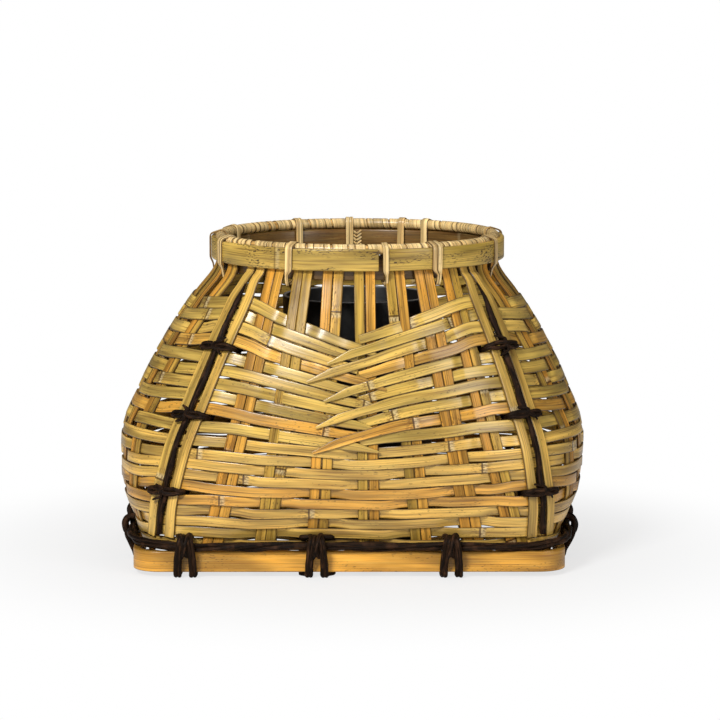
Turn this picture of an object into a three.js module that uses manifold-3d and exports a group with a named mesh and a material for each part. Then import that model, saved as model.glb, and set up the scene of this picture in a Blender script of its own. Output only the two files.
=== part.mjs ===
// Bamboo flower basket: a square foot, a round mouth, a twill-woven wall and a lift-out water liner.
// Millimetres, +Z up. The origin is on the ground under the middle, with the front towards -Y.
import * as THREE from 'three';
import { mergeVertices } from 'three/addons/utils/BufferGeometryUtils.js';
import Module from 'manifold-3d';

const wasm = await Module();
wasm.setup();
const { Manifold, Mesh: ManifoldMesh } = wasm;

const lerp = THREE.MathUtils.lerp;
const clamp = THREE.MathUtils.clamp;
const V = (x, y, z) => new THREE.Vector3(x, y, z);

// Driving dimensions
const TOTAL_HEIGHT = 187;
const MOUTH_RADIUS = 80.9;
const CLEARANCE = 0.3;
const MOUTH_LEAN = 0.028;
const LEAN_PIVOT = 70;

// Foot frame: one bent bamboo band
const FRAME = { halfWidth: 122, halfDepth: 89, cornerRadius: 16, thickness: 4, bottom: 2.9, top: 14.6 };

// Rim: two hoops with the stakes' ends between them, and a wound core behind the outer hoop's edge
const HOOP = { top: TOTAL_HEIGHT - 2, height: 13, outerThickness: 2.6, innerThickness: 2.4, gap: 0.8 };
const INNER_HOOP = { top: HOOP.top - 4.6, height: 14 };
const RIM_STEPS = 44;
const CORE = { radius: 2.8, inward: 1.6, z: HOOP.top - 1.65 };
const RIM_TIE = { width: 4.4, tipWidth: 2.6, thickness: 0.9, below: 3.4, hold: 0.1, bite: 0.25 };

// Wall, on the middle of the stakes: share of the height, share of the way from the frame's plan to the
// mouth's, swell out of that plan, and squareness
const WALL_TOP = HOOP.top - 6.4;
const WALL_RISE = WALL_TOP - FRAME.top;
const NECK_UP = (HOOP.top - HOOP.height - 0.5 - FRAME.top) / WALL_RISE;
const WALL_FORM = [
  { up: 0.0012, toMouth: 0, swellX: -5.5, swellY: -5.5, square: 7 },
  { up: 0.0756, toMouth: 0, swellX: 0.8, swellY: 0, square: 4.8 },
  { up: 0.1915, toMouth: 0, swellX: 9, swellY: 7, square: 3.3 },
  { up: 0.3378, toMouth: 0, swellX: 10.8, swellY: 10.6, square: 2.65 },
  { up: 0.5085, toMouth: 0.2, swellX: 9.42, swellY: 10.22, square: 2.35 },
  { up: 0.7037, toMouth: 0.5, swellX: 5.55, swellY: 7.45, square: 2.18 },
  { up: 0.8256, toMouth: 0.75, swellX: 3.02, swellY: 4.48, square: 2.1 },
  { up: NECK_UP, toMouth: 1, swellX: 0, swellY: 0, square: 2.08 },
  { up: 1, toMouth: 1, swellX: 0, swellY: 0, square: 2.08 },
];
const WALL = WALL_FORM.map(({ up, toMouth, swellX, swellY, square }) => ({
  up,
  z: FRAME.top + up * WALL_RISE,
  halfWidth: lerp(FRAME.halfWidth, MOUTH_RADIUS, toMouth) + swellX,
  halfDepth: lerp(FRAME.halfDepth, MOUTH_RADIUS, toMouth) + swellY,
  square,
}));
const [, , , , , , SHOULDER, NECK] = WALL;

// Stakes: split strips in pairs, woven across the floor and standing up both walls
const STAKE = { pairWidth: 11.6, slit: 0.8, splitFrom: 0.7, thickness: 1.2, floorZ: 8, floorWave: 1.4 };
const BEND = { run: 7, share: 0.3, lift: 1.1, slope: 0.55 };
const FRONT_PITCH = FRAME.halfWidth * 0.24345;
const SIDE_PITCH = FRAME.halfDepth * 0.26405;
const RIM_STEP = THREE.MathUtils.degToRad(12);
const FRONT_SHIFT = { foot: 11, rim: 3.5, lastFoot: 5.5, rimTaper: 0.2 };
const CORNER_AZIMUTH = {
  foot: Math.atan2(WALL[0].halfWidth, WALL[0].halfDepth),
  rim: THREE.MathUtils.degToRad(48.7),
  frontLeftRim: THREE.MathUtils.degToRad(43.5),
};

// Weft rows: 20 strips high, over two stakes and under one
const ROW = {
  first: FRAME.top + 3.7,
  lowerPitch: WALL_RISE * 0.03567,
  upperPitch: WALL_RISE * 0.0372,
  flatRows: 8,
  lastRow: 19,
  upperStart: 10,
};
const WEFT = {
  thickness: 1,
  lowerWidth: ROW.lowerPitch - 0.7,
  upperWidth: ROW.upperPitch - 0.45,
  over: 1.95,
  under: 1.6,
  cornerRoom: 0.6,
};
const ROW_SLOPE = { flat: 0.05, perRow: 0.0235 };
const ROW_EASE = { side: 0.25, back: 0.2, level: 0.8, guess: 24 };
const EDGE_MARGIN = 1;

// Crossing of the upper strips' ends in the middle of the front
const CROSSING = {
  x: 1,
  leftTip: 11,
  rightTip: 8.5,
  shortTip: 1.5,
  clearOf: 11,
  step: 4,
  halfStep: ROW.upperPitch * 0.2492,
  lift: 0.7,
  taper: 0.75,
  narrow: 0.9,
};
const CROSSING_LAYER = { middle: 2.95, swing: 0.9, tilt: 0.45, flat: 0.7, ramp: 0.9 };

// Corner struts: two slats with a dark vine between them, tied at three heights
const SLAT = {
  width: 6.2,
  thickness: 1.4,
  gap: 5.4,
  topGap: 1.4,
  bottom: FRAME.top + 7.4,
  top: WALL_TOP - 0.1,
  closeFrom: SHOULDER.z + 2,
  closeOver: 12,
  sinkFrom: NECK.z - 8,
  sinkTo: NECK.z - 1,
};
const CORNER_VINE = { radius: 2.3, bottom: FRAME.top + 8.8, top: SHOULDER.z + 4 };
const KNOT = { radius: 1.35, rows: [4.5, 10.5, 15.5], spread: [2, 1.2, 1.9], fade: 0.4, proud: 0.2 };
const KNOT_HOOK = 5.5;
const KNOT_ROOM = { flat: 15, ramp: 14 };

// Foot vine along the frame's top edge, and the ties that the basket stands on
const FOOT_VINE = { radius: 3.2, z: FRAME.top + 3.5, offset: 6.4, cornerBulge: 2.2 };
const TIE_RADIUS = 1.4;
const TIE = {
  radius: TIE_RADIUS,
  topSpread: 2,
  footSpread: Math.min(4.3, (SIDE_PITCH - STAKE.pairWidth) / 2 - CLEARANCE - TIE_RADIUS),
  flat: 0.28,
  rowLift: 4.05,
  liftFade: 0.17,
  upperFade: 0.35,
  plateau: 9,
  ramp: 36,
};

// Liner: a plain round water can
const LINER_BOTTOM = STAKE.floorZ + STAKE.floorWave + 1;
const LINER = { x: 3.5, topRadius: 44, footRadius: 42, wall: 2, floor: 3, bottom: LINER_BOTTOM, top: 150 };

const SLOTS = 30;
const HALF_TURN = SLOTS / 2;

// Materials
const bamboo = (color, roughness = 0.5) => new THREE.MeshStandardMaterial({ color, roughness, metalness: 0 });
const MATERIALS = {
  stake: bamboo(0xb9822f),
  weft: bamboo(0xc9a045),
  slat: bamboo(0xd8b860),
  frame: bamboo(0xc88a3c),
  hoop: bamboo(0x9c8a3e),
  cane: bamboo(0xe3c58a),
  vine: bamboo(0x241812, 0.7),
  liner: bamboo(0x0c0c0d, 0.4),
};

// Position along a table of heights: the lower entry and the share of the step above it
function stepAt(z) {
  let k = 0;
  while (k < WALL.length - 2 && z > WALL[k + 1].z) k += 1;
  return { k, share: (z - WALL[k].z) / (WALL[k + 1].z - WALL[k].z) };
}

// A slot is counted from the middle of the front, positive towards +X, and wraps at the back
function wrapSlot(slot) {
  const turn = ((slot + HALF_TURN) % SLOTS + SLOTS) % SLOTS;
  return turn - HALF_TURN;
}

const isCorner = (slot) => {
  const place = Math.abs(wrapSlot(slot));
  return place === 4 || place === 11;
};

function rise(z) {
  const foot = WALL[0].z;
  return clamp((z - foot) / (WALL[WALL.length - 1].z - foot), 0, 1);
}

// Where front and back stakes stand in x, and side stakes in y, at a share of the height
function stakeX(index, share) {
  const foot = FRONT_PITCH * index + (index > 2 ? FRONT_SHIFT.lastFoot : FRONT_SHIFT.foot);
  const taper = 1 - FRONT_SHIFT.rimTaper * Math.max(0, index);
  const rim = MOUTH_RADIUS * Math.sin(RIM_STEP * index) + FRONT_SHIFT.rim * taper;
  return lerp(foot, rim, share);
}

const stakeY = (index, share) => lerp(SIDE_PITCH * index, MOUTH_RADIUS * Math.sin(RIM_STEP * index), share);

// Azimuth of a whole slot on one of the wall's heights, from the front, in radians
function slotAzimuth(slot, level) {
  const place = wrapSlot(slot);
  const side = Math.abs(place);
  const sign = place < 0 ? -1 : 1;
  const { halfWidth, halfDepth, square } = level;
  const share = rise(level.z);
  const across = (value, half) => (1 - Math.abs(value / half) ** square) ** (1 / square);
  if (side === 4 || side === 11) {
    const rim = place === -4 ? CORNER_AZIMUTH.frontLeftRim : CORNER_AZIMUTH.rim;
    const corner = lerp(CORNER_AZIMUTH.foot, rim, share);
    return sign * (side === 4 ? corner : Math.PI - corner);
  }
  if (side < 4) {
    const x = stakeX(place, share);
    return Math.atan2(x, halfDepth * across(x, halfWidth));
  }
  if (side < 11) {
    const y = stakeY(side - 7.5, share);
    return sign * Math.atan2(halfWidth * across(y, halfDepth), -y);
  }
  const x = stakeX(sign * (HALF_TURN - side), share);
  const azimuth = Math.atan2(x, -halfDepth * across(x, halfWidth));
  if (azimuth < 0 && sign > 0) return azimuth + 2 * Math.PI;
  if (azimuth > 0 && sign < 0) return azimuth - 2 * Math.PI;
  return azimuth;
}

// A point of the wall on one of its heights
function levelPoint(slot, level) {
  const base = Math.floor(slot);
  const from = slotAzimuth(base, level);
  let to = slotAzimuth(base + 1, level);
  if (to < from) to += 2 * Math.PI;
  const azimuth = lerp(from, to, slot - base);
  const sin = Math.sin(azimuth);
  const cos = Math.cos(azimuth);
  const { halfWidth, halfDepth, square } = level;
  const reach = (Math.abs(sin / halfWidth) ** square + Math.abs(cos / halfDepth) ** square) ** (-1 / square);
  return V(reach * sin + MOUTH_LEAN * (level.z - LEAN_PIVOT), -reach * cos, level.z);
}

// The wall's middle surface, straight between its heights
function wallPoint(slot, z) {
  const { k, share } = stepAt(z);
  return levelPoint(slot, WALL[k]).lerp(levelPoint(slot, WALL[k + 1]), share);
}

// Outward normal of the wall, level where the foot pieces need it
function wallNormal(slot, z, level = false) {
  const along = wallPoint(slot + 0.05, z).sub(wallPoint(slot - 0.05, z));
  const up = level ? V(0, 0, 1) : wallPoint(slot, z + 2).sub(wallPoint(slot, z - 2));
  return along.cross(up).normalize();
}

const offWall = (slot, z, offset, level = false) =>
  wallPoint(slot, z).addScaledVector(wallNormal(slot, z, level), offset);

// Length of wall along one slot step
const slotLength = (slot, z) => wallPoint(slot + 0.25, z).distanceTo(wallPoint(slot - 0.25, z)) * 2;

// A slot moved some millimetres along the wall, measured on the side it moves to
function besideSlot(slot, z, beside) {
  if (beside === 0) return slot;
  const quarter = 0.25 * Math.sign(beside);
  return slot + (quarter * Math.abs(beside)) / wallPoint(slot, z).distanceTo(wallPoint(slot + quarter, z));
}

// A closed body from a list of triangles
function solid(points, triangles) {
  const geometry = new THREE.BufferGeometry();
  geometry.setAttribute('position', new THREE.Float32BufferAttribute(points.flatMap((p) => p.toArray()), 3));
  geometry.setIndex(triangles.flat());
  return facingOut(geometry);
}

function facingOut(geometry) {
  const position = geometry.getAttribute('position');
  const index = geometry.getIndex();
  const [a, b, c] = [V(0, 0, 0), V(0, 0, 0), V(0, 0, 0)];
  let volume = 0;
  for (let t = 0; t < index.count; t += 3) {
    a.fromBufferAttribute(position, index.getX(t));
    b.fromBufferAttribute(position, index.getX(t + 1));
    c.fromBufferAttribute(position, index.getX(t + 2));
    volume += a.dot(b.cross(c));
  }
  if (volume < 0) {
    for (let t = 0; t < index.count; t += 3) {
      const held = index.getX(t);
      index.setX(t, index.getX(t + 2));
      index.setX(t + 2, held);
    }
  }
  return geometry;
}

// Loft through rings of equal count, closed on itself or capped at both ends
function loft(rings, closed = false) {
  const sides = rings[0].length;
  const triangles = [];
  const spans = closed ? rings.length : rings.length - 1;
  for (let k = 0; k < spans; k += 1) {
    const here = k * sides;
    const next = ((k + 1) % rings.length) * sides;
    for (let s = 0; s < sides; s += 1) {
      const t = (s + 1) % sides;
      triangles.push([here + s, here + t, next + t], [here + s, next + t, next + s]);
    }
  }
  if (!closed) {
    const last = (rings.length - 1) * sides;
    for (let s = 1; s < sides - 1; s += 1) {
      triangles.push([0, s + 1, s], [last, last + s, last + s + 1]);
    }
  }
  return solid(rings.flat(), triangles);
}

// Directions along a path of points
function pathTangents(points, closed = false) {
  const count = points.length;
  return points.map((_, k) => {
    const before = closed ? points[(k + count - 1) % count] : points[Math.max(k - 1, 0)];
    const after = closed ? points[(k + 1) % count] : points[Math.min(k + 1, count - 1)];
    return after.clone().sub(before).normalize();
  });
}

// Tube of even radius through points, its section carried along without twist
function tube(points, radius, sides = 6) {
  const tangents = pathTangents(points);
  let side = V(0, 0, 1).cross(tangents[0]);
  if (side.length() < 0.1) side = V(1, 0, 0);
  const rings = points.map((p, k) => {
    side = side.addScaledVector(tangents[k], -side.dot(tangents[k])).normalize();
    const up = tangents[k].clone().cross(side);
    const ring = [];
    for (let s = 0; s < sides; s += 1) {
      const angle = ((s + 0.5) / sides) * 2 * Math.PI;
      const ray = side.clone().multiplyScalar(Math.cos(angle)).addScaledVector(up, Math.sin(angle));
      ring.push(p.clone().addScaledVector(ray, radius));
    }
    return ring;
  });
  return loft(rings);
}

// Least distance between stretches of one path that are more than a given length apart
function leastSelfGap(points, radius, apart) {
  const curve = new THREE.CatmullRomCurve3(points);
  const samples = curve.getSpacedPoints(points.length * 8);
  const step = curve.getLength() / (points.length * 8);
  let least = Infinity;
  for (let a = 0; a < samples.length; a += 1) {
    for (let b = a + Math.ceil(apart / step); b < samples.length; b += 1) {
      least = Math.min(least, samples[a].distanceTo(samples[b]));
    }
  }
  return least - 2 * radius;
}

// Flat strip: stations hold a point, the wall's normal, a width and a tilt across the width
function strip(stations, thickness) {
  const tangents = pathTangents(stations.map((station) => station.point));
  const rings = stations.map((station, k) => {
    const across = station.normal.clone().cross(tangents[k]).normalize();
    const out = tangents[k].clone().cross(across);
    const lean = station.tilt ?? 0;
    const half = across.clone().multiplyScalar(Math.cos(lean)).addScaledVector(out, Math.sin(lean));
    half.multiplyScalar(station.width / 2);
    const face = out.clone().multiplyScalar(Math.cos(lean)).addScaledVector(across, -Math.sin(lean));
    face.multiplyScalar(thickness / 2);
    const corner = (w, f) => station.point.clone().addScaledVector(half, w).addScaledVector(face, f);
    return [corner(-1, -1), corner(1, -1), corner(1, 1), corner(-1, 1)];
  });
  return loft(rings);
}

// Solids for joining and cutting
function toManifold(geometry) {
  const bare = new THREE.BufferGeometry();
  bare.setAttribute('position', geometry.getAttribute('position'));
  bare.setIndex(geometry.getIndex());
  const merged = mergeVertices(bare, 1e-4);
  const vertProperties = new Float32Array(merged.getAttribute('position').array);
  const triVerts = new Uint32Array(merged.getIndex().array);
  return new Manifold(new ManifoldMesh({ numProp: 3, vertProperties, triVerts }));
}

function fromManifold(manifold) {
  const mesh = manifold.getMesh();
  const geometry = new THREE.BufferGeometry();
  geometry.setAttribute('position', new THREE.Float32BufferAttribute(mesh.vertProperties, 3));
  geometry.setIndex(Array.from(mesh.triVerts));
  return geometry;
}

const joined = (geometries) =>
  fromManifold(geometries.map(toManifold).reduce((whole, piece) => whole.add(piece)));

// Foot frame

function frameGeometry() {
  const { halfWidth, halfDepth, cornerRadius, thickness, bottom, top } = FRAME;
  const cornerSteps = 5;
  const shift = MOUTH_LEAN * (bottom - LEAN_PIVOT);
  const rings = [];
  for (const [sx, sy, turn] of [[1, -1, -90], [1, 1, 0], [-1, 1, 90], [-1, -1, 180]]) {
    for (let k = 0; k <= cornerSteps; k += 1) {
      const angle = THREE.MathUtils.degToRad(turn + (90 * k) / cornerSteps);
      const at = (inset, z) => {
        const radius = cornerRadius - inset;
        const x = sx * (halfWidth - cornerRadius) + radius * Math.cos(angle);
        const y = sy * (halfDepth - cornerRadius) + radius * Math.sin(angle);
        return V(x + shift, y, z);
      };
      rings.push([at(0, bottom), at(0, top), at(thickness, top), at(thickness, bottom)]);
    }
  }
  return loft(rings, true);
}

// Stakes: one strip from rim to rim, whole on the floor and split in two up each wall

function stakeStation(point, along, normal, split) {
  const across = normal.clone().cross(along).normalize();
  const out = along.clone().cross(across).normalize();
  return { point, across, out, split };
}

function splitStrip(stations) {
  const { pairWidth, slit, thickness } = STAKE;
  const places = [-pairWidth / 2, -slit / 2, slit / 2, pairWidth / 2];
  const points = [];
  const triangles = [];
  const quad = (a, b, c, d) => triangles.push([a, b, c], [a, c, d]);
  const marks = stations.map((station) => {
    const corner = (place, face) => {
      points.push(station.point.clone()
        .addScaledVector(station.across, place)
        .addScaledVector(station.out, (face * thickness) / 2));
      return points.length - 1;
    };
    const used = station.split ? [0, 1, 2, 3] : [0, 3];
    const outer = [];
    const inner = [];
    for (const k of used) {
      outer[k] = corner(places[k], 1);
      inner[k] = corner(places[k], -1);
    }
    return { outer, inner, split: station.split };
  });
  for (let k = 0; k < marks.length - 1; k += 1) {
    const a = marks[k];
    const b = marks[k + 1];
    if (a.split && b.split) {
      for (const [low, high] of [[0, 1], [2, 3]]) {
        quad(a.outer[low], b.outer[low], b.outer[high], a.outer[high]);
        quad(a.inner[high], b.inner[high], b.inner[low], a.inner[low]);
        quad(a.inner[high], a.outer[high], b.outer[high], b.inner[high]);
        quad(b.inner[low], b.outer[low], a.outer[low], a.inner[low]);
      }
      continue;
    }
    quad(a.inner[3], a.outer[3], b.outer[3], b.inner[3]);
    quad(b.inner[0], b.outer[0], a.outer[0], a.inner[0]);
    const whole = (face) => {
      const loop = [face(a)[0]];
      for (const m of b.split ? [0, 1, 2, 3] : [0, 3]) loop.push(face(b)[m]);
      for (const m of a.split ? [3, 2, 1] : [3]) loop.push(face(a)[m]);
      return loop;
    };
    const fan = (loop, flip) => {
      const pivot = a.split ? loop.findIndex((m) => m === loop[1]) : 0;
      const turned = loop.slice(pivot).concat(loop.slice(0, pivot));
      for (let m = 1; m < turned.length - 1; m += 1) {
        triangles.push(flip ? [turned[0], turned[m + 1], turned[m]] : [turned[0], turned[m], turned[m + 1]]);
      }
    };
    fan(whole((mark) => mark.outer), false);
    fan(whole((mark) => mark.inner), true);
    if (b.split) quad(b.inner[1], b.inner[2], b.outer[2], b.outer[1]);
    if (a.split) quad(a.outer[1], a.outer[2], a.inner[2], a.inner[1]);
  }
  const first = marks[0];
  const last = marks[marks.length - 1];
  for (const [low, high] of [[0, 1], [2, 3]]) {
    quad(first.outer[low], first.outer[high], first.inner[high], first.inner[low]);
    quad(last.inner[low], last.inner[high], last.outer[high], last.outer[low]);
  }
  return solid(points, triangles);
}

function wallStations(slot, upwards) {
  const levels = upwards ? WALL : [...WALL].reverse();
  return levels.map((level) => {
    const point = levelPoint(slot, level);
    const up = wallPoint(slot, level.z + 3).sub(wallPoint(slot, level.z - 3)).normalize();
    const normal = wallNormal(slot, clamp(level.z, WALL[0].z + 2, TOTAL_HEIGHT));
    return stakeStation(point, upwards ? up : up.negate(), normal, level.up >= STAKE.splitFrom);
  });
}

// Floor crossings alternate over and under, so long and cross stakes interlace
function stakeGeometry(startSlot, endSlot, crossings) {
  const { floorZ, floorWave } = STAKE;
  const start = levelPoint(startSlot, WALL[0]);
  const end = levelPoint(endSlot, WALL[0]);
  const run = V(end.x - start.x, end.y - start.y, 0);
  const along = run.clone().normalize();
  const floorNormal = V(0, 0, -1);
  const stations = wallStations(startSlot, false);
  const floorAt = (share, lift) => V(start.x + run.x * share, start.y + run.y * share, floorZ + lift);
  const bend = BEND.run / run.length();
  const bendDirection = (sign) => along.clone().setZ(sign * BEND.slope).normalize();
  const bendPoint = (share) => floorAt(share, BEND.lift);
  const outside = (sign) => V(sign * along.x, sign * along.y, -1);
  stations.push(stakeStation(bendPoint(bend * BEND.share), bendDirection(-1), outside(-1), false));
  stations.push(stakeStation(floorAt(bend, 0), along, floorNormal, false));
  for (const { share, over } of crossings) {
    stations.push(stakeStation(floorAt(share, over ? floorWave : -floorWave), along, floorNormal, false));
  }
  stations.push(stakeStation(floorAt(1 - bend, 0), along, floorNormal, false));
  stations.push(stakeStation(bendPoint(1 - bend * BEND.share), bendDirection(1), outside(1), false));
  stations.push(...wallStations(endSlot, true));
  return splitStrip(stations);
}

function addStakes(group) {
  const foot = WALL[0];
  const frontX = (index) => levelPoint(index, foot).x;
  const sideY = (index) => levelPoint(index + 7.5, foot).y;
  const longIndexes = [-3, -2, -1, 0, 1, 2, 3];
  const crossIndexes = [-2.5, -1.5, -0.5, 0.5, 1.5, 2.5];
  longIndexes.forEach((index, column) => {
    const start = levelPoint(index, foot);
    const end = levelPoint(HALF_TURN - index, foot);
    const crossings = crossIndexes.map((cross, row) => ({
      share: (sideY(cross) - start.y) / (end.y - start.y),
      over: (column + row) % 2 === 0,
    }));
    addMesh(group, `stake_long_${column + 1}`, stakeGeometry(index, HALF_TURN - index, crossings), 'stake');
  });
  crossIndexes.forEach((index, row) => {
    const left = -(index + 7.5);
    const start = levelPoint(left, foot);
    const end = levelPoint(index + 7.5, foot);
    const crossings = longIndexes.map((long, column) => ({
      share: (frontX(long) - start.x) / (end.x - start.x),
      over: (column + row) % 2 === 1,
    }));
    addMesh(group, `stake_cross_${row + 1}`, stakeGeometry(left, index + 7.5, crossings), 'stake');
  });
}

// Weft rows

const TIE_SLOTS = { front: [-3.5, -1, 1.6], right: [6.5, 8.5], back: [13.5, -13.5], left: [-8.5, -6.5] };
const CORNERS = [4, 11, -11, -4];

function plateau(distance, flat, ramp) {
  const share = clamp((distance - flat) / ramp, 0, 1);
  return 1 - share * share * (3 - 2 * share);
}

const slotGap = (a, b) => Math.abs(wrapSlot(a - b));

// Rows part where a tie or a knot passes between them
function rowShift(row, slot, z) {
  const length = slotLength(slot, z);
  let shift = 0;
  for (const tie of Object.values(TIE_SLOTS).flat()) {
    const near = plateau(slotGap(slot, tie) * length, TIE.plateau, TIE.ramp);
    const lowerFade = TIE.liftFade * clamp(row - 1, 0, ROW.flatRows - 1);
    const faded = lowerFade + TIE.upperFade * Math.max(0, row - ROW.flatRows);
    const lift = row < 0.5 ? 0 : Math.max(0, TIE.rowLift - faded);
    shift = Math.max(shift, near * lift);
  }
  for (const corner of CORNERS) {
    const near = plateau(slotGap(slot, corner) * length, KNOT_ROOM.flat, KNOT_ROOM.ramp);
    KNOT.rows.forEach((knot, k) => {
      const rowsAway = Math.abs(row - knot) - 0.5;
      const push = Math.max(0, KNOT.spread[k] - KNOT.fade * rowsAway);
      shift += near * push * Math.sign(row - knot);
    });
  }
  return shift;
}

function rowMiddle(row) {
  const flat = Math.min(row, ROW.flatRows);
  const lift = row < ROW.upperStart - 0.25 ? 0 : CROSSING.lift;
  return ROW.first + ROW.lowerPitch * flat + ROW.upperPitch * Math.max(0, row - ROW.flatRows) + lift;
}

function rowSlope(row) {
  const flat = (ROW_SLOPE.flat * Math.min(row, ROW.flatRows)) / ROW.flatRows;
  return flat + ROW_SLOPE.perRow * Math.max(0, row - ROW.flatRows);
}

// Height of a row: it climbs from the middle of the front to the corners and eases on the other sides.
// A strip that crosses keeps its slope past the middle, and which is 1 on the right end and -1 on the left.
function rowHeight(row, slot, which = 0) {
  const place = wrapSlot(slot);
  const side = Math.abs(place);
  const middle = rowMiddle(row);
  const slope = rowSlope(row);
  const guess = middle + ROW_EASE.guess * slope;
  const corner = Math.abs(wallPoint(4, guess).x);
  const reach = corner * ROW_EASE.level;
  const climb = slope * reach;
  let z = middle + climb;
  if (side < 4) {
    const x = wallPoint(place, guess).x - CROSSING.x;
    const away = which === 0 ? Math.abs(x) : which * x;
    const share = Math.min(1, away / reach);
    z = middle + climb * share + which * CROSSING.halfStep * (1 - Math.max(0, share));
  } else if (side < 11) {
    const across = (side - 7.5) / 3.5;
    z -= climb * ROW_EASE.side * (1 - across * across);
  } else {
    const across = (HALF_TURN - side) / 4;
    z -= climb * ROW_EASE.back * (1 - across * across);
  }
  return z + rowShift(row, slot, z);
}

// Stakes are numbered from the middle of the front, leaving out the corners
function stakeNumber(slot) {
  const place = wrapSlot(slot);
  const side = Math.abs(place);
  const skipped = side > 11 ? 2 : side > 4 ? 1 : 0;
  return Math.sign(place) * (side - skipped);
}

const passesUnder = (row, slot) => !isCorner(slot) && ((stakeNumber(slot) - row) % 3 + 3) % 3 === 0;

// The slot just past a stake's edge
const pastEdge = (slot, z, side) => besideSlot(slot, z, side * (STAKE.pairWidth / 2 + EDGE_MARGIN));

// Over and under stations of a row between two slots, with the row number as a function of the slot
function weftStations(fromSlot, toSlot, rowAt, skipUnder = () => false, which = () => 0) {
  const stations = [];
  const put = (slot, layer) => {
    if (slot < fromSlot - 1e-6 || slot > toSlot + 1e-6) return;
    const row = rowAt(slot);
    const corner = plateau(Math.min(...CORNERS.map((place) => slotGap(slot, place))), 0.8, 1);
    const room = layer > 0 ? WEFT.cornerRoom * corner : 0;
    stations.push({ slot, layer: layer + room, z: rowHeight(row, slot, which(slot)) });
  };
  const under = (slot) => passesUnder(Math.round(rowAt(slot)), slot) && !skipUnder(slot);
  for (let slot = Math.ceil(fromSlot) - 1; slot <= Math.floor(toSlot) + 1; slot += 1) {
    const z = rowHeight(rowAt(slot), slot);
    const before = pastEdge(slot, z, -1);
    const after = pastEdge(slot, z, 1);
    if (isCorner(slot)) {
      for (const step of [-0.3, 0.3]) put(slot + step, WEFT.over);
    } else if (under(slot)) {
      put(before, -WEFT.under);
      put(after, -WEFT.under);
    } else {
      const over = (next) => !isCorner(next) && !under(next);
      const atCorner = isCorner(slot - 1) || isCorner(slot + 1);
      if (atCorner || isCorner(slot - 2) || !over(slot - 1)) put(before, WEFT.over);
      if (atCorner || !over(slot + 1)) put(after, WEFT.over);
      else put(slot + 0.5, WEFT.over);
    }
  }
  return stations;
}

function weftGeometry(stations, width) {
  return strip(stations.map(({ slot, layer, z, tilt, taper = 1 }) => ({
    point: offWall(slot, z, layer),
    normal: wallNormal(slot, z),
    width: width * taper,
    tilt,
  })), WEFT.thickness);
}

// Lower rows: lengths of two turns each, which climb one row across the back
function addLowerWefts(group) {
  const climbStart = 13.9;
  const spliceGap = 0.05;
  const lengths = ROW.upperStart / 2;
  for (let k = 0; k < lengths; k += 1) {
    const rowAt = (slot) => {
      const turn = Math.floor((slot + HALF_TURN) / SLOTS);
      const place = wrapSlot(slot);
      const climb = clamp((Math.abs(place) - climbStart) / (HALF_TURN - climbStart), 0, 1) / 2;
      return 2 * k + turn + Math.sign(place) * climb;
    };
    const from = k === 0 ? -climbStart : -HALF_TURN + spliceGap;
    const to = k === lengths - 1 ? SLOTS + climbStart : SLOTS + HALF_TURN - spliceGap;
    const stations = weftStations(from, to, rowAt);
    addMesh(group, `weft_lower_${k + 1}`, weftGeometry(stations, WEFT.lowerWidth), 'weft');
  }
}

// Upper rows: single turns whose ends cross in the middle of the front. Each end swings from the outer
// to the inner layer, with the strips tilted like shingles between, so its tip lies under the next row.
function addUpperWefts(group) {
  for (let row = ROW.upperStart; row <= ROW.lastRow; row += 1) {
    const z = rowMiddle(row);
    const leftStake = wallPoint(-1, z).x;
    const rightStake = wallPoint(0, z).x;
    const slotOf = (x) => (x - leftStake) / (rightStake - leftStake) - 1;
    const end = (places, which) => places.map((x, k) => {
      const slot = slotOf(CROSSING.x + x);
      const swing = (x * rowSlope(row)) / CROSSING.halfStep;
      const layer = CROSSING_LAYER.middle + which * CROSSING_LAYER.swing * clamp(swing, -1, 1);
      const tilt = CROSSING_LAYER.tilt * plateau(Math.abs(swing), CROSSING_LAYER.flat, CROSSING_LAYER.ramp);
      const isTip = k === (which > 0 ? 0 : places.length - 1);
      return { slot, layer, z: rowHeight(row, slot, which), tilt, taper: isTip ? CROSSING.taper : CROSSING.narrow };
    });
    const { leftTip, rightTip, shortTip, clearOf, step } = CROSSING;
    const tucked = passesUnder(row, -1);
    const away = [step, 1.5 * step, 2 * step];
    const past = [-rightTip, -step, 0];
    const rightEnd = [...(tucked ? [shortTip] : past), ...away, clearOf];
    const leftEnd = [...(tucked ? [0] : past), ...away, leftTip];
    const skipUnder = (slot) => wrapSlot(slot) === 0;
    const which = (slot) => (slot < HALF_TURN ? 1 : -1);
    const firstSlot = 0.5;
    const lastSlot = SLOTS + pastEdge(-1, z, 1) + 0.02;
    const body = weftStations(firstSlot, lastSlot, () => row, skipUnder, which);
    const left = end(leftEnd, -1).map((station) => ({ ...station, slot: station.slot + SLOTS }));
    const stations = [...end(rightEnd, 1), ...body, ...left];
    addMesh(group, `weft_upper_${row - ROW.upperStart + 1}`, weftGeometry(stations, WEFT.upperWidth), 'weft');
  }
}

// Corner struts

const CORNER_NAMES = { 4: 'front_right', 11: 'back_right', '-11': 'back_left', '-4': 'front_left' };

// A point beside a corner, moved along the wall and off it
const cornerPoint = (corner, z, beside, offset) => offWall(besideSlot(corner, z, beside), z, offset);

const WEFT_FACE = WEFT.over + WEFT.cornerRoom + WEFT.thickness / 2;
const SLAT_OFFSET = WEFT_FACE + 2.2 * CLEARANCE + SLAT.thickness / 2;

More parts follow.
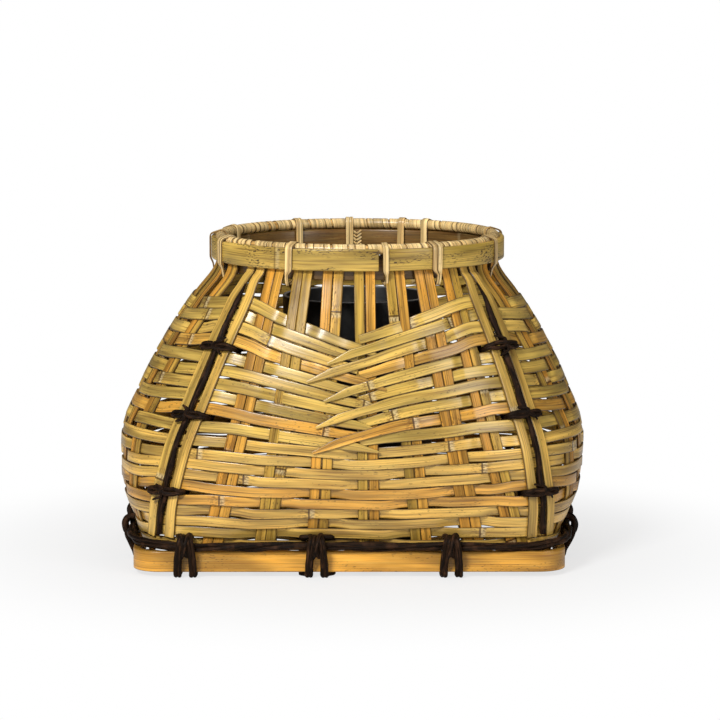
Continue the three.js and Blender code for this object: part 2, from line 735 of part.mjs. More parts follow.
function addCorners(group) {
  const heights = WALL.slice(2, 7).map((level) => level.z);
  const slatHeights = [SLAT.bottom, ...heights, SLAT.sinkFrom, SLAT.sinkTo, NECK.z, SLAT.top];
  const vineHeights = [CORNER_VINE.bottom, ...heights, CORNER_VINE.top];
  const vineOffset = WEFT_FACE + CLEARANCE + CORNER_VINE.radius;
  for (const corner of CORNERS) {
    const name = CORNER_NAMES[corner];
    for (const [side, sign] of [['a', -1], ['b', 1]]) {
      const stations = slatHeights.map((z) => {
        const gap = lerp(SLAT.topGap, SLAT.gap, plateau(z, SLAT.closeFrom, SLAT.closeOver));
        const slot = besideSlot(corner, z, (sign * (gap + SLAT.width)) / 2);
        const point = offWall(slot, z, SLAT_OFFSET * plateau(z, SLAT.sinkFrom, SLAT.sinkTo - SLAT.sinkFrom));
        return { point, normal: wallNormal(slot, z), width: SLAT.width };
      });
      addMesh(group, `corner_slat_${name}_${side}`, strip(stations, SLAT.thickness), 'slat');
    }
    const vine = tube(vineHeights.map((z) => cornerPoint(corner, z, 0, vineOffset)), CORNER_VINE.radius, 6);
    const knots = KNOT.rows.map((row) => knotGeometry(corner, row, vineOffset));
    addMesh(group, `corner_vine_${name}`, joined([vine, ...knots]), 'vine');
  }
}

// A tie over both slats, tucked through the wall on each side and hooked behind a row
function knotGeometry(corner, row, vineOffset) {
  const z = (rowHeight(row - 0.5, corner) + rowHeight(row + 0.5, corner)) / 2;
  const reach = SLAT.gap / 2 + SLAT.width + CLEARANCE + KNOT.radius;
  const overSlat = SLAT_OFFSET + SLAT.thickness / 2 + CLEARANCE + KNOT.radius;
  const overVine = vineOffset + CORNER_VINE.radius + KNOT.radius * KNOT.proud;
  const inside = -(WEFT.under + WEFT.thickness / 2 + CLEARANCE + KNOT.radius + 0.4);
  const points = [
    [-reach, inside, KNOT_HOOK],
    [-reach, inside, 0],
    [-reach, overSlat - 1.6, 0],
    [-reach + 1.6, overSlat + 0.2, 0],
    [-CORNER_VINE.radius * 0.6, overVine, 0],
    [CORNER_VINE.radius * 0.6, overVine, 0],
    [reach - 1.6, overSlat + 0.2, 0],
    [reach, overSlat - 1.6, 0],
    [reach, inside, 0],
    [reach, inside, -KNOT_HOOK],
  ];
  const path = points.map(([beside, offset, lift]) => {
    const slot = besideSlot(corner, z, beside);
    const between = (rowHeight(row - 0.5, slot) + rowHeight(row + 0.5, slot)) / 2;
    return offWall(slot, between + lift, offset);
  });
  return tube(path, KNOT.radius, 4);
}

// Foot vines and ties

function vineOffsetAt(slot) {
  const near = Math.min(...CORNERS.map((corner) => slotGap(slot, corner)));
  return FOOT_VINE.offset + FOOT_VINE.cornerBulge * plateau(near, 0.35, 0.8);
}

function addFootVines(group) {
  const ends = [TIE_SLOTS.front[2], TIE_SLOTS.right[1], TIE_SLOTS.back[1] + SLOTS, TIE_SLOTS.left[1] + SLOTS];
  const names = ['right', 'back', 'left', 'front'];
  const endGap = 0.03;
  const pathStep = 0.62;
  ends.forEach((end, k) => {
    const from = end + endGap;
    const to = (k < ends.length - 1 ? ends[k + 1] : ends[0] + SLOTS) - endGap;
    const steps = Math.round((to - from) / pathStep);
    const points = [];
    for (let s = 0; s <= steps; s += 1) {
      const slot = lerp(from, to, s / steps);
      points.push(offWall(slot, FOOT_VINE.z, vineOffsetAt(slot), true));
    }
    addMesh(group, `foot_vine_${names[k]}`, tube(points, FOOT_VINE.radius, 6), 'vine');
  });
}

// Two turns round the vine, the frame and the lowest row, one unbroken length with a flat under it.
// Where a stake stands behind the tie, its strands pass the wall on either side of the stake.
function tiePoints(slot) {
  const z0 = FOOT_VINE.z;
  const wallSide = wallNormal(slot, z0, true);
  const onSide = Math.abs(wallSide.x) > Math.abs(wallSide.y);
  const normal = onSide ? V(Math.sign(wallSide.x), 0, 0) : V(0, Math.sign(wallSide.y), 0);
  const across = V(0, 0, 1).cross(normal);
  const base = wallPoint(slot, z0);
  const reach = FOOT_VINE.radius + CLEARANCE + TIE.radius + 0.25;
  const vineOut = vineOffsetAt(slot);
  const shift = MOUTH_LEAN * (FRAME.bottom - LEAN_PIVOT);
  const frameOut = onSide
    ? FRAME.halfWidth - Math.abs(base.x - shift)
    : FRAME.halfDepth - Math.abs(base.y);
  const besideFrame = frameOut + CLEARANCE + TIE.radius + 0.1;
  const inside = -(WEFT.under + WEFT.thickness / 2 + CLEARANCE + TIE.radius + 0.2);
  const gapZ = z0 + FOOT_VINE.radius + 1.25;
  const standing = TIE.radius - TIE.flat;
  const stakeHalf = STAKE.pairWidth / 2 + CLEARANCE + TIE.radius + 0.6;
  const through = Number.isInteger(slot) ? stakeHalf : TIE.topSpread;
  const loop = (sign) => {
    const top = sign * TIE.topSpread;
    const foot = sign * TIE.footSpread;
    const wall = sign * through;
    const under = sign * Math.max(through, TIE.footSpread);
    return [
      [wall, inside + 2.4, gapZ],
      [lerp(wall, top, 0.1), vineOut - 2.2, gapZ + 0.35],
      [top, vineOut + 0.6, z0 + reach + 0.35],
      [lerp(top, foot, 0.3), vineOut + reach * 0.98, z0 + reach * 0.5],
      [lerp(top, foot, 0.7), vineOut + reach * 0.85, z0 - reach * 0.75],
      [foot, besideFrame + 0.5, FRAME.bottom + 0.9],
      [foot, besideFrame - 0.4, standing],
      [lerp(foot, under, 0.3), besideFrame - 4.4, standing],
      [under, inside + 1.4, standing],
      [under, inside - 0.8, standing + 2.6],
    ];
  };
  const climb = [[-through, inside - 0.8, z0 - 4.5], [through, inside - 0.5, z0 + 2.2]];
  const finish = [Math.max(through, TIE.footSpread), inside - 0.4, z0 - 6];
  return [...loop(-1), ...climb, ...loop(1), finish].map(([beside, out, z]) =>
    V(base.x, base.y, z).addScaledVector(across, beside).addScaledVector(normal, out));
}

function addFootTies(group) {
  const below = new THREE.BoxGeometry(4 * FRAME.halfWidth, 4 * FRAME.halfDepth, 20).translate(0, 0, -10);
  const ground = toManifold(below);
  let least = Infinity;
  for (const [side, slots] of Object.entries(TIE_SLOTS)) {
    slots.forEach((slot, k) => {
      const points = tiePoints(slot);
      least = Math.min(least, leastSelfGap(points, TIE.radius, 12));
      const wound = toManifold(tube(points, TIE.radius, 5));
      addMesh(group, `foot_tie_${side}_${k + 1}`, fromManifold(wound.subtract(ground)), 'vine');
    });
  }
  console.log(`least gap of a foot tie to itself: ${least.toFixed(2)} mm`);
}

// Rim

const RIM_LEVEL = WALL[WALL.length - 1];

function rimPoint(slot, offset, z) {
  const point = levelPoint(slot, RIM_LEVEL);
  const along = levelPoint(slot + 0.05, RIM_LEVEL).sub(levelPoint(slot - 0.05, RIM_LEVEL));
  const normal = along.cross(V(0, 0, 1)).normalize();
  return point.addScaledVector(normal, offset).setZ(z);
}

function hoopGeometry(near, far, hoop) {
  const steps = RIM_STEPS;
  const rings = [];
  for (let k = 0; k < steps; k += 1) {
    const slot = (k * SLOTS) / steps;
    const at = (offset, z) => rimPoint(slot, offset, z);
    const bottom = hoop.top - hoop.height;
    rings.push([at(near, bottom), at(far, bottom), at(far, hoop.top), at(near, hoop.top)]);
  }
  return loft(rings, true);
}

function coreGeometry() {
  const steps = RIM_STEPS;
  const sides = 6;
  const rings = [];
  for (let k = 0; k < steps; k += 1) {
    const ring = [];
    for (let s = 0; s < sides; s += 1) {
      const angle = ((s + 0.5) / sides) * 2 * Math.PI;
      const offset = CORE.radius * Math.cos(angle) - CORE.inward;
      ring.push(rimPoint((k * SLOTS) / steps, offset, CORE.z + CORE.radius * Math.sin(angle)));
    }
    rings.push(ring);
  }
  return loft(rings, true);
}

// A cane strap round the whole rim, drawn to a narrow tip below the hoops between two stakes
function rimTieGeometry(slot) {
  const face = STAKE.thickness / 2 + HOOP.gap;
  const half = RIM_TIE.thickness / 2;
  const outer = face + HOOP.outerThickness + CLEARANCE + half;
  const inner = face + HOOP.innerThickness + 3 * CLEARANCE + half;
  const over = CORE.radius + half - RIM_TIE.bite;
  const outerFoot = HOOP.top - HOOP.height;
  const innerFoot = INNER_HOOP.top - INNER_HOOP.height;
  const path = [
    { out: -CORE.inward, z: CORE.z + over },
    { out: outer, z: HOOP.top + CLEARANCE + half },
    { out: outer, z: outerFoot + RIM_TIE.hold },
    { out: outer * 0.4, z: outerFoot - RIM_TIE.below, tip: true },
    { out: -inner * 0.4, z: innerFoot - RIM_TIE.below, tip: true },
    { out: -inner, z: innerFoot + RIM_TIE.hold },
    { out: -inner, z: CORE.z + half },
  ];
  const count = path.length;
  const rings = path.map((place, k) => {
    const before = path[(k + count - 1) % count];
    const after = path[(k + 1) % count];
    const turn = new THREE.Vector2(after.out - before.out, after.z - before.z).normalize();
    const width = place.tip ? RIM_TIE.tipWidth : RIM_TIE.width;
    const reach = width / 2 / slotLength(slot, RIM_LEVEL.z);
    const at = (sign, face2) => {
      const out = place.out - turn.y * half * face2;
      const z = place.z + turn.x * half * face2;
      return place.tip ? offWall(slot + sign * reach, z, out, true) : rimPoint(slot + sign * reach, out, z);
    };
    return [at(-1, -1), at(1, -1), at(1, 1), at(-1, 1)];
  });
  return loft(rings, true);
}

const RIM_TIE_SLOTS = [-5.5, -2.5, 0.5, 2.5, 5.5, 8.5, 12.5, 13.5, -14.5, -12.5, -9.5, -7.5];

function addRim(group) {
  const face = STAKE.thickness / 2 + HOOP.gap;
  addMesh(group, 'rim_outer_hoop', hoopGeometry(face, face + HOOP.outerThickness, HOOP), 'hoop');
  addMesh(group, 'rim_inner_hoop', hoopGeometry(-face - HOOP.innerThickness, -face, INNER_HOOP), 'hoop');
  const ties = RIM_TIE_SLOTS.map(rimTieGeometry);
  addMesh(group, 'rim_binding', joined([coreGeometry(), ...ties]), 'cane');
}

// Liner

function linerGeometry() {
  const { topRadius, footRadius, wall, floor, bottom, top } = LINER;
  const profile = [
    [0, bottom], [footRadius, bottom], [topRadius, top],
    [topRadius - wall, top], [footRadius - wall, bottom + floor], [0, bottom + floor],
  ].map(([radius, z]) => new THREE.Vector2(radius, z));
  const turned = new THREE.LatheGeometry(profile, 36).rotateX(Math.PI / 2).translate(LINER.x, 0, 0);
  turned.deleteAttribute('normal');
  turned.deleteAttribute('uv');
  return facingOut(mergeVertices(turned, 1e-4));
}

// The whole basket

function addMesh(group, name, geometry, material) {
  const mesh = new THREE.Mesh(geometry, MATERIALS[material]);
  mesh.name = name;
  group.add(mesh);
}

const basket = new THREE.Group();
addMesh(basket, 'foot_frame', frameGeometry(), 'frame');
addFootVines(basket);
addFootTies(basket);
addStakes(basket);
addLowerWefts(basket);
addUpperWefts(basket);
addCorners(basket);
addRim(basket);
addMesh(basket, 'liner', linerGeometry(), 'liner');

// The crossed front stands out a little further than the back, so the middle of the whole is set on the axis
const middle = new THREE.Box3().setFromObject(basket).getCenter(V(0, 0, 0));
basket.position.set(-middle.x, -middle.y, 0);

export default basket;
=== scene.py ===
"""A woven bamboo flower basket with a lift-out pot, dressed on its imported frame."""
import bisect
import math
import random
from types import SimpleNamespace as Sizes

import bpy
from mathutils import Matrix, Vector


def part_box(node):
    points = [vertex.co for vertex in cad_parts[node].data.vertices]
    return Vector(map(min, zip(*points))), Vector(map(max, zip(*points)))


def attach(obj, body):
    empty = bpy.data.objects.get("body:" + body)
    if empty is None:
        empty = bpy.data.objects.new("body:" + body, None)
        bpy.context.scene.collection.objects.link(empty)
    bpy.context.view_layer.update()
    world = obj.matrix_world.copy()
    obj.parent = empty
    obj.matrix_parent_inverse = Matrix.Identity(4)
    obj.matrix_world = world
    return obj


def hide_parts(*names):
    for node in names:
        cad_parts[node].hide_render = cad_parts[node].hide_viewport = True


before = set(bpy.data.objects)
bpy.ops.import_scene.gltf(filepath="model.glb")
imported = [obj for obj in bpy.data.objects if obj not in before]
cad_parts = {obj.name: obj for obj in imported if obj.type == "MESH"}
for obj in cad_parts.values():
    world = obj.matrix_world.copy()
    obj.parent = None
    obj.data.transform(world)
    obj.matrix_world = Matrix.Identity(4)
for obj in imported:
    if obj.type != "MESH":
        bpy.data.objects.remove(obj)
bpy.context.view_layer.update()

# Sizes in millimetres, mostly the part's own. Spacings of joints are in metres, the hoop's joint in radians
MM = 0.001
POT = Sizes(x=3.5, foot=42, top=44, wall=2, floor=3, low=10.4, high=150)
pot_low, pot_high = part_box("liner")
SHIFT = Vector(((pot_low[0] + pot_high[0]) / 2 / MM - POT.x, (pot_low[1] + pot_high[1]) / 2 / MM, 0))

# Upright places round the wall, counted from the middle of the front
SLOTS = 30
HALF_TURN = SLOTS / 2
FRONT_CORNER = 4
SIDE_MIDDLE = 7.5
BACK_CORNER = 11
CORNERS = {4: "front_right", 11: "back_right", -11: "back_left", -4: "front_left"}
CORNER_DEGREES = Sizes(foot=54.37, rim=48.7, front_left_rim=43.5)

# The wall's plan at rising heights, from a rounded rectangle to a near circle
HEIGHTS = (14.8, 27, 46, 70, 98, 130, 150, 171.5, 178.6)
HALF_WIDTHS = (116.5, 122.8, 131, 132.8, 123.2, 107, 94.2, 80.9, 80.9)
HALF_DEPTHS = (83.5, 89, 96, 99.6, 97.6, 92.4, 87.4, 80.9, 80.9)
SQUARES = (7, 4.8, 3.3, 2.65, 2.35, 2.18, 2.1, 2.08, 2.08)
FOOT, BRIM = HEIGHTS[0], HEIGHTS[-1]
MOUTH_LEAN = 0.028
LEAN_PIVOT = 70
FRONT_PITCH = 29.7
SIDE_PITCH = 23.5
FRONT_SHIFT = Sizes(foot=11, last_foot=5.5, rim=3.5, rim_taper=0.2)
RIM_RADIUS = 80.9
RIM_DEGREES = 12

STAKE = Sizes(
    pair=11.8, slit=0.3, wide_slit=0.1, thickness=1.0, floor=8, wave=1.4, bend=7, lift=1.1,
    facing=(16.8, 178), joints=0.19, wide={"stake_long_1": True, "stake_long_2": False, "stake_long_6": True},
)
WEFT = Sizes(
    thickness=0.75, lower=5.9, upper=6.35, over=1.15, under=0.9, corner_room=0.2, corner_half=0.3,
    corner_reach=(0.8, 1), joints=0.23, browned=0.28, step=0.11,
)
ROW = Sizes(first=18.3, lower=5.85, upper=6.1, flat=8, last=19, crossed=10)
ROW_SLOPE = Sizes(flat=0.05, per_row=0.0235, level=0.8, guess=24, side=0.25, back=0.2)
CROSSING = Sizes(
    x=1, half=1.52, lift=0.7, layer=0.8, slope=0.32, dip_from=42, drawn=13, tip=0.22,
    narrow=0.8, reach=40, upper_reach=25, upper_from=15, right_on_top=(11, 13, 15, 17, 18),
    right_tip=(12, 27), left_tip=(12, 19), right_tuck=-3, left_tuck=2,
)
TIE_SLOTS = {"front": (-3.5, -1, 1.6), "right": (6.5, 8.5), "back": (13.5, -13.5), "left": (-8.5, -6.5)}
TIE = Sizes(
    radius=2.0, strand=1.4, apart=0.9, top=2, foot=4.3, lift=1.3, fade=0.1, upper_fade=0.35,
    parts_rows=(9, 36), rough=0.13, step=0.8,
)
KNOT = Sizes(radius=1.45, rows=(4.5, 10.5, 15.5), spread=(1.2, 0.9, 1.2), fade=0.3, parts_rows=(15, 14))
CLEARANCE = 0.3
SLAT = Sizes(
    width=6.2, thickness=1.4, clear=0.15, gap=5.4, top_gap=1.4, closes=(152, 12), sinks=(163.5, 7),
    low=22, high=178.5, joints=0.3,
)
CORNER_VINE = Sizes(radius=1.7, low=23.4, high=161)
FOOT_VINE = Sizes(
    radius=3.1, z=18.1, offset=6.4, bulge=2.2, corner_reach=(0.35, 0.8), strands=(1.75, 1.4, 1.2),
    spread=1.3, clear=0.03, step=0.07,
)
FRAME = Sizes(half_width=122, half_depth=89, corner=16, thickness=4, low=2.9, high=14.6)
HOOP = Sizes(low=172, high=184.4, outer=2.6, inner=2.4, gap=0.8, joint=0.154, joint_half=0.021)
INNER_HOOP = Sizes(low=166.4, high=180.4)
HOOP_FACE = STAKE.thickness / 2 + HOOP.gap
CORE = Sizes(radius=3.0, inward=1.6, z=183.8, turns=150, cane=0.55)
RIM_TIE_SLOTS = (-5.5, -2.5, 0.71, 2.5, 5.5, 8.5, 12.5, 13.5, -14.5, -12.5, -9.5, -7.5)
RIM_TIE = Sizes(
    thickness=0.9, width=4.5, pointed=0.45, lean=0.35, lean_over=14,
    widths={0: 5.6, 2: 3.4, 3: 6.0},
    strands={0: 3, 3: 2, 7: 2, 8: 2, 9: 2},
    bands={1: ((0.0, 1.0),), 2: ((-0.26, 0.5), (0.26, 0.5)), 3: ((-0.34, 0.33), (0.0, 0.34), (0.34, 0.33))},
)
UP = Vector((0, 0, 1))
FULL_TURN = 2 * math.pi

dice = random.Random(7)


# Curves and the wall


class Smooth:
    """A curve through values at rising places, which never swings past them."""

    def __init__(self, places, values):
        self.x = list(places)
        self.y = list(values)
        steps = [b - a for a, b in zip(self.x, self.x[1:])]
        rises = [(b - a) / h for a, b, h in zip(self.y, self.y[1:], steps)]
        self.m = [rises[0]]
        for k in range(1, len(rises)):
            a, b = rises[k - 1], rises[k]
            if a * b <= 0:
                self.m.append(0.0)
                continue
            w1 = 2 * steps[k] + steps[k - 1]
            w2 = steps[k] + 2 * steps[k - 1]
            self.m.append((w1 + w2) / (w1 / a + w2 / b))
        self.m.append(rises[-1])

    def __call__(self, x):
        if x <= self.x[0]:
            return self.y[0]
        if x >= self.x[-1]:
            return self.y[-1]
        k = bisect.bisect_right(self.x, x) - 1
        h = self.x[k + 1] - self.x[k]
        t = (x - self.x[k]) / h
        s = 1 - t
        return (
            self.y[k] * (1 + 2 * t) * s * s
            + self.y[k + 1] * t * t * (3 - 2 * t)
            + h * t * s * (self.m[k] * s - self.m[k + 1] * t)
        )


half_width = Smooth(HEIGHTS, HALF_WIDTHS)
half_depth = Smooth(HEIGHTS, HALF_DEPTHS)
squareness = Smooth(HEIGHTS, SQUARES)


def mix(a, b, t):
    return a + (b - a) * t


def spaced(start, stop, count):
    return [mix(start, stop, k / count) for k in range(count + 1)]


def clamp(value, low=0.0, high=1.0):
    return max(low, min(high, value))


def plateau(distance, flat, ramp):
    """1 up to the flat's end, then a smooth fall to 0 over the ramp."""
    t = clamp((distance - flat) / ramp)
    return 1 - t * t * (3 - 2 * t)


def wave(place, *parts):
    """A slight wander: the sum of sine waves, each with its size, pace and phase."""
    return sum(size * math.sin(place * pace + phase) for size, pace, phase in parts)


def wrap(slot):
    return (slot + HALF_TURN) % SLOTS - HALF_TURN


def gap(a, b):
    return abs(wrap(a - b))


def is_corner(slot):
    return wrap(slot) in CORNERS


def from_corner(slot):
    return min(gap(slot, corner) for corner in CORNERS)


def stake_x(index, share):
    foot = FRONT_PITCH * index + (FRONT_SHIFT.last_foot if index > 2 else FRONT_SHIFT.foot)
    shift = FRONT_SHIFT.rim * (1 - FRONT_SHIFT.rim_taper * max(0, index))
    return mix(foot, RIM_RADIUS * math.sin(math.radians(RIM_DEGREES * index)) + shift, share)


def stake_y(index, share):
    return mix(SIDE_PITCH * index, RIM_RADIUS * math.sin(math.radians(RIM_DEGREES * index)), share)


def slot_azimuth(slot, z):
    """The turn of a stake or corner at a height, from the middle of the front."""
    place = wrap(slot)
    side = abs(place)
    sign = -1 if place < 0 else 1
    share = clamp((z - FOOT) / (BRIM - FOOT))
    width, depth, square = half_width(z), half_depth(z), squareness(z)

    def across(value, half):
        return max(0.0, 1 - abs(value / half) ** square) ** (1 / square)

    if is_corner(place):
        rim = CORNER_DEGREES.front_left_rim if place == -FRONT_CORNER else CORNER_DEGREES.rim
        corner = math.radians(mix(CORNER_DEGREES.foot, rim, share))
        return sign * (corner if side == FRONT_CORNER else math.pi - corner)
    if side < FRONT_CORNER:
        x = stake_x(place, share)
        return math.atan2(x, depth * across(x, width))
    if side < BACK_CORNER:
        y = stake_y(side - SIDE_MIDDLE, share)
        return sign * math.atan2(width * across(y, depth), -y)
    x = stake_x(sign * (HALF_TURN - side), share)
    azimuth = math.atan2(x, -depth * across(x, width))
    if azimuth < 0 < sign:
        azimuth += FULL_TURN
    if sign < 0 < azimuth:
        azimuth -= FULL_TURN
    return azimuth


def wall_point(slot, z):
    base = math.floor(slot)
    start = slot_azimuth(base, z)
    stop = slot_azimuth(base + 1, z)
    if stop < start:
        stop += FULL_TURN
    azimuth = mix(start, stop, slot - base)
    s, c = math.sin(azimuth), math.cos(azimuth)
    square = squareness(z)
    reach = (abs(s / half_width(z)) ** square + abs(c / half_depth(z)) ** square) ** (-1 / square)
    return Vector((reach * s + MOUTH_LEAN * (z - LEAN_PIVOT), -reach * c, z))


def along_wall(slot, z, half):
    return wall_point(slot + half, z) - wall_point(slot - half, z)


def wall_normal(slot, z, level=False):
    up = UP if level else wall_point(slot, z + 2) - wall_point(slot, z - 2)
    return along_wall(slot, z, 0.05).cross(up).normalized()


def off_wall(slot, z, offset, level=False):
    return wall_point(slot, z) + wall_normal(slot, z, level) * offset


def slot_length(slot, z):
    return along_wall(slot, z, 0.25).length * 2


def beside(slot, z, distance):
    """A slot moved some millimetres along the wall."""
    if distance == 0:
        return slot
    quarter = math.copysign(0.25, distance)
    return slot + quarter * abs(distance) / (wall_point(slot, z) - wall_point(slot + quarter, z)).length


def lean_of(slot, z):
    """How much longer the wall is than its height there."""
    return min(1.18, 1 / math.hypot(*wall_normal(slot, z).xy))


# Meshes


def select_only(obj):
    """Leaves edit mode, with this one object for the next operator to act on."""
    if bpy.context.mode != "OBJECT":
        bpy.ops.object.mode_set(mode="OBJECT")
    bpy.ops.object.select_all(action="DESELECT")
    obj.select_set(True)
    bpy.context.view_layer.objects.active = obj


def stand_for(obj, node, angle, body="basket"):
    """Smooths a finished piece and lets it stand for its node."""
    bpy.ops.object.shade_smooth_by_angle(angle=math.radians(angle))
    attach(obj, body)
    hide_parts(node)


class Weaver:
    """Collects strips and vines into one mesh with lengthwise coordinates and a tone for each length."""

    def __init__(self):
        self.points = []
        self.faces = []
        self.coords = []
        self.tones = []

    def loft(self, rings, along, across, tone, closed=False):
        """Skins a row of rings; along is the distance of each ring and across the place on it, in metres."""
        start = len(self.points)
        sides = len(rings[0])
        for ring in rings:
            self.points.extend((p + SHIFT) * MM for p in ring)
            self.tones.extend([tone] * sides)
        spans = len(rings) if closed else len(rings) - 1
        for k in range(spans):
            near_ring = start + k * sides
            far_ring = start + (k + 1) % len(rings) * sides
            near = along[k]
            far = along[k + 1] if k + 1 < len(along) else near + along[1] - along[0]
            for s in range(sides):
                t = (s + 1) % sides
                v_next = across[s + 1] if s + 1 < len(across) else across[0]
                self.faces.append((near_ring + s, near_ring + t, far_ring + t, far_ring + s))
                self.coords.extend(((near, across[s]), (near, v_next), (far, v_next), (far, across[s])))
        if not closed:
            round_end = range(sides)
            last = start + (len(rings) - 1) * sides
            for ring, place, order in ((start, along[0], reversed(round_end)), (last, along[-1], round_end)):
                order = list(order)
                self.faces.append(tuple(ring + s for s in order))
                self.coords.extend((place, across[s]) for s in order)

    def piece(self, name, material, node, angle=40):
        mesh = bpy.data.meshes.new(name)
        mesh.from_pydata(self.points, [], self.faces)
        layer = mesh.uv_layers.new(name="grain")
        layer.data.foreach_set("uv", [value for pair in self.coords for value in pair])
        tone = mesh.attributes.new("tone", "FLOAT_COLOR", "POINT")
        tone.data.foreach_set("color", [value for t in self.tones for value in (*t, 1.0)])
        mesh.validate()
        mesh.materials.append(material)
        obj = bpy.data.objects.new(name, mesh)
        bpy.context.scene.collection.objects.link(obj)
        select_only(obj)
        bpy.ops.object.mode_set(mode="EDIT")
        bpy.ops.mesh.select_all(action="SELECT")
        bpy.ops.mesh.normals_make_consistent(inside=False)
        bpy.ops.object.mode_set(mode="OBJECT")
        stand_for(obj, node, angle)


def lengths_of(points):
    lengths = [0.0]
    for a, b in zip(points, points[1:]):
        lengths.append(lengths[-1] + (b - a).length)
    return lengths


def tangents_of(points, closed=False):
    count = len(points)
    tangents = []
    for k in range(count):
        before = points[k - 1] if closed or k > 0 else points[0]
        after = points[(k + 1) % count] if closed or k < count - 1 else points[-1]
        tangents.append((after - before).normalized())
    return tangents


def curve_through(places, vectors):
    """A smooth curve through vectors at rising places."""
    axes = [Smooth(places, [vector[axis] for vector in vectors]) for axis in range(3)]
    return lambda place: Vector([axis(place) for axis in axes])


def resample(points, step):
    """Evenly spaced points on a smooth curve through the given ones."""
    lengths = lengths_of(points)
    curve = curve_through(lengths, points)
    count = max(2, round(lengths[-1] / step))
    return [curve(lengths[-1] * k / count) for k in range(count + 1)]


STRIP_PROFILE = (
    (-0.44, -0.5), (0.44, -0.5), (0.5, -0.3), (0.5, 0.18), (0.47, 0.4), (0.41, 0.48), (0.32, 0.5),
    (-0.32, 0.5), (-0.41, 0.48), (-0.47, 0.4), (-0.5, 0.18), (-0.5, -0.3),
)
SWELL = Sizes(half=0.9, wider=0.035, rise=0.28, steps=(-2, -1, -0.4, 0, 0.4, 1, 2))


def with_joints(places, spacing, start):
    """Places along a strip, with closer ones where its joints swell."""
    places = list(places)
    end = places[-1]
    joint = (math.ceil(start / spacing - 0.5) + 0.5) * spacing - start
    while joint / MM < end:
        places.extend(clamp(joint / MM + step, 0, end) for step in SWELL.steps)
        joint += spacing
    return sorted(set(round(place, 3) for place in places))


def lay_strip(weaver, points, normals, widths, thickness, tone, tilts=None, spacing=0.0, start=0.0):
    """A split strip with rounded edges. Its joints stand out at each spacing along it, in metres."""
    lengths = lengths_of(points)
    tangents = tangents_of(points)
    rings = []
    for k, point in enumerate(points):
        across = normals[k].cross(tangents[k]).normalized()
        out = tangents[k].cross(across)
        tilt = tilts[k] if tilts else 0.0
        half = across * math.cos(tilt) + out * math.sin(tilt)
        face = out * math.cos(tilt) - across * math.sin(tilt)
        swell = 0.0
        if spacing:
            away = ((start + lengths[k] * MM) / spacing % 1 - 0.5) * spacing / MM
            swell = math.exp(-((away / SWELL.half) ** 2))
        width = widths[k] * (1 + SWELL.wider * swell)
        rise = SWELL.rise * swell
        rings.append([
            point + half * (w * width) + face * (f * thickness + (rise if f > 0 else 0))
            for w, f in STRIP_PROFILE
        ])
    along = [start + length * MM for length in lengths]
    weaver.loft(rings, along, [w + 0.5 for w, _ in STRIP_PROFILE], tone)


def lay_vine(weaver, points, radius, sides=10, rough=0.1):
    """A length of vine with an uneven, lobed skin. Its radius is a function of the share of its length."""
    tone = (0, 0, dice.random())
    seed = dice.uniform(0, 50)
    tangents = tangents_of(points)
    lengths = lengths_of(points)
    side = tangents[0].cross(Vector((0.3, 0.2, 1))).normalized()
    rings = []
    for k, point in enumerate(points):
        side = (side - tangents[k] * side.dot(tangents[k])).normalized()
        other = tangents[k].cross(side)
        here = lengths[k]
        knob = math.sin(here * 0.23 + seed) * math.sin(here * 0.61 + 2 * seed)
        ring = []
        for s in range(sides):
            angle = FULL_TURN * s / sides
            lobe = math.sin(2 * angle + here * 0.11 + seed) + 0.6 * math.sin(3 * angle - here * 0.31 + seed)
            size = radius(k / (len(points) - 1)) * (1 + rough * (0.55 * lobe + 0.6 * knob))
            ring.append(point + side * (math.cos(angle) * size) + other * (math.sin(angle) * size))
        rings.append(ring)
    weaver.loft(rings, [seed + length * MM for length in lengths], spaced(0, 1, sides), tone)


# Finishes


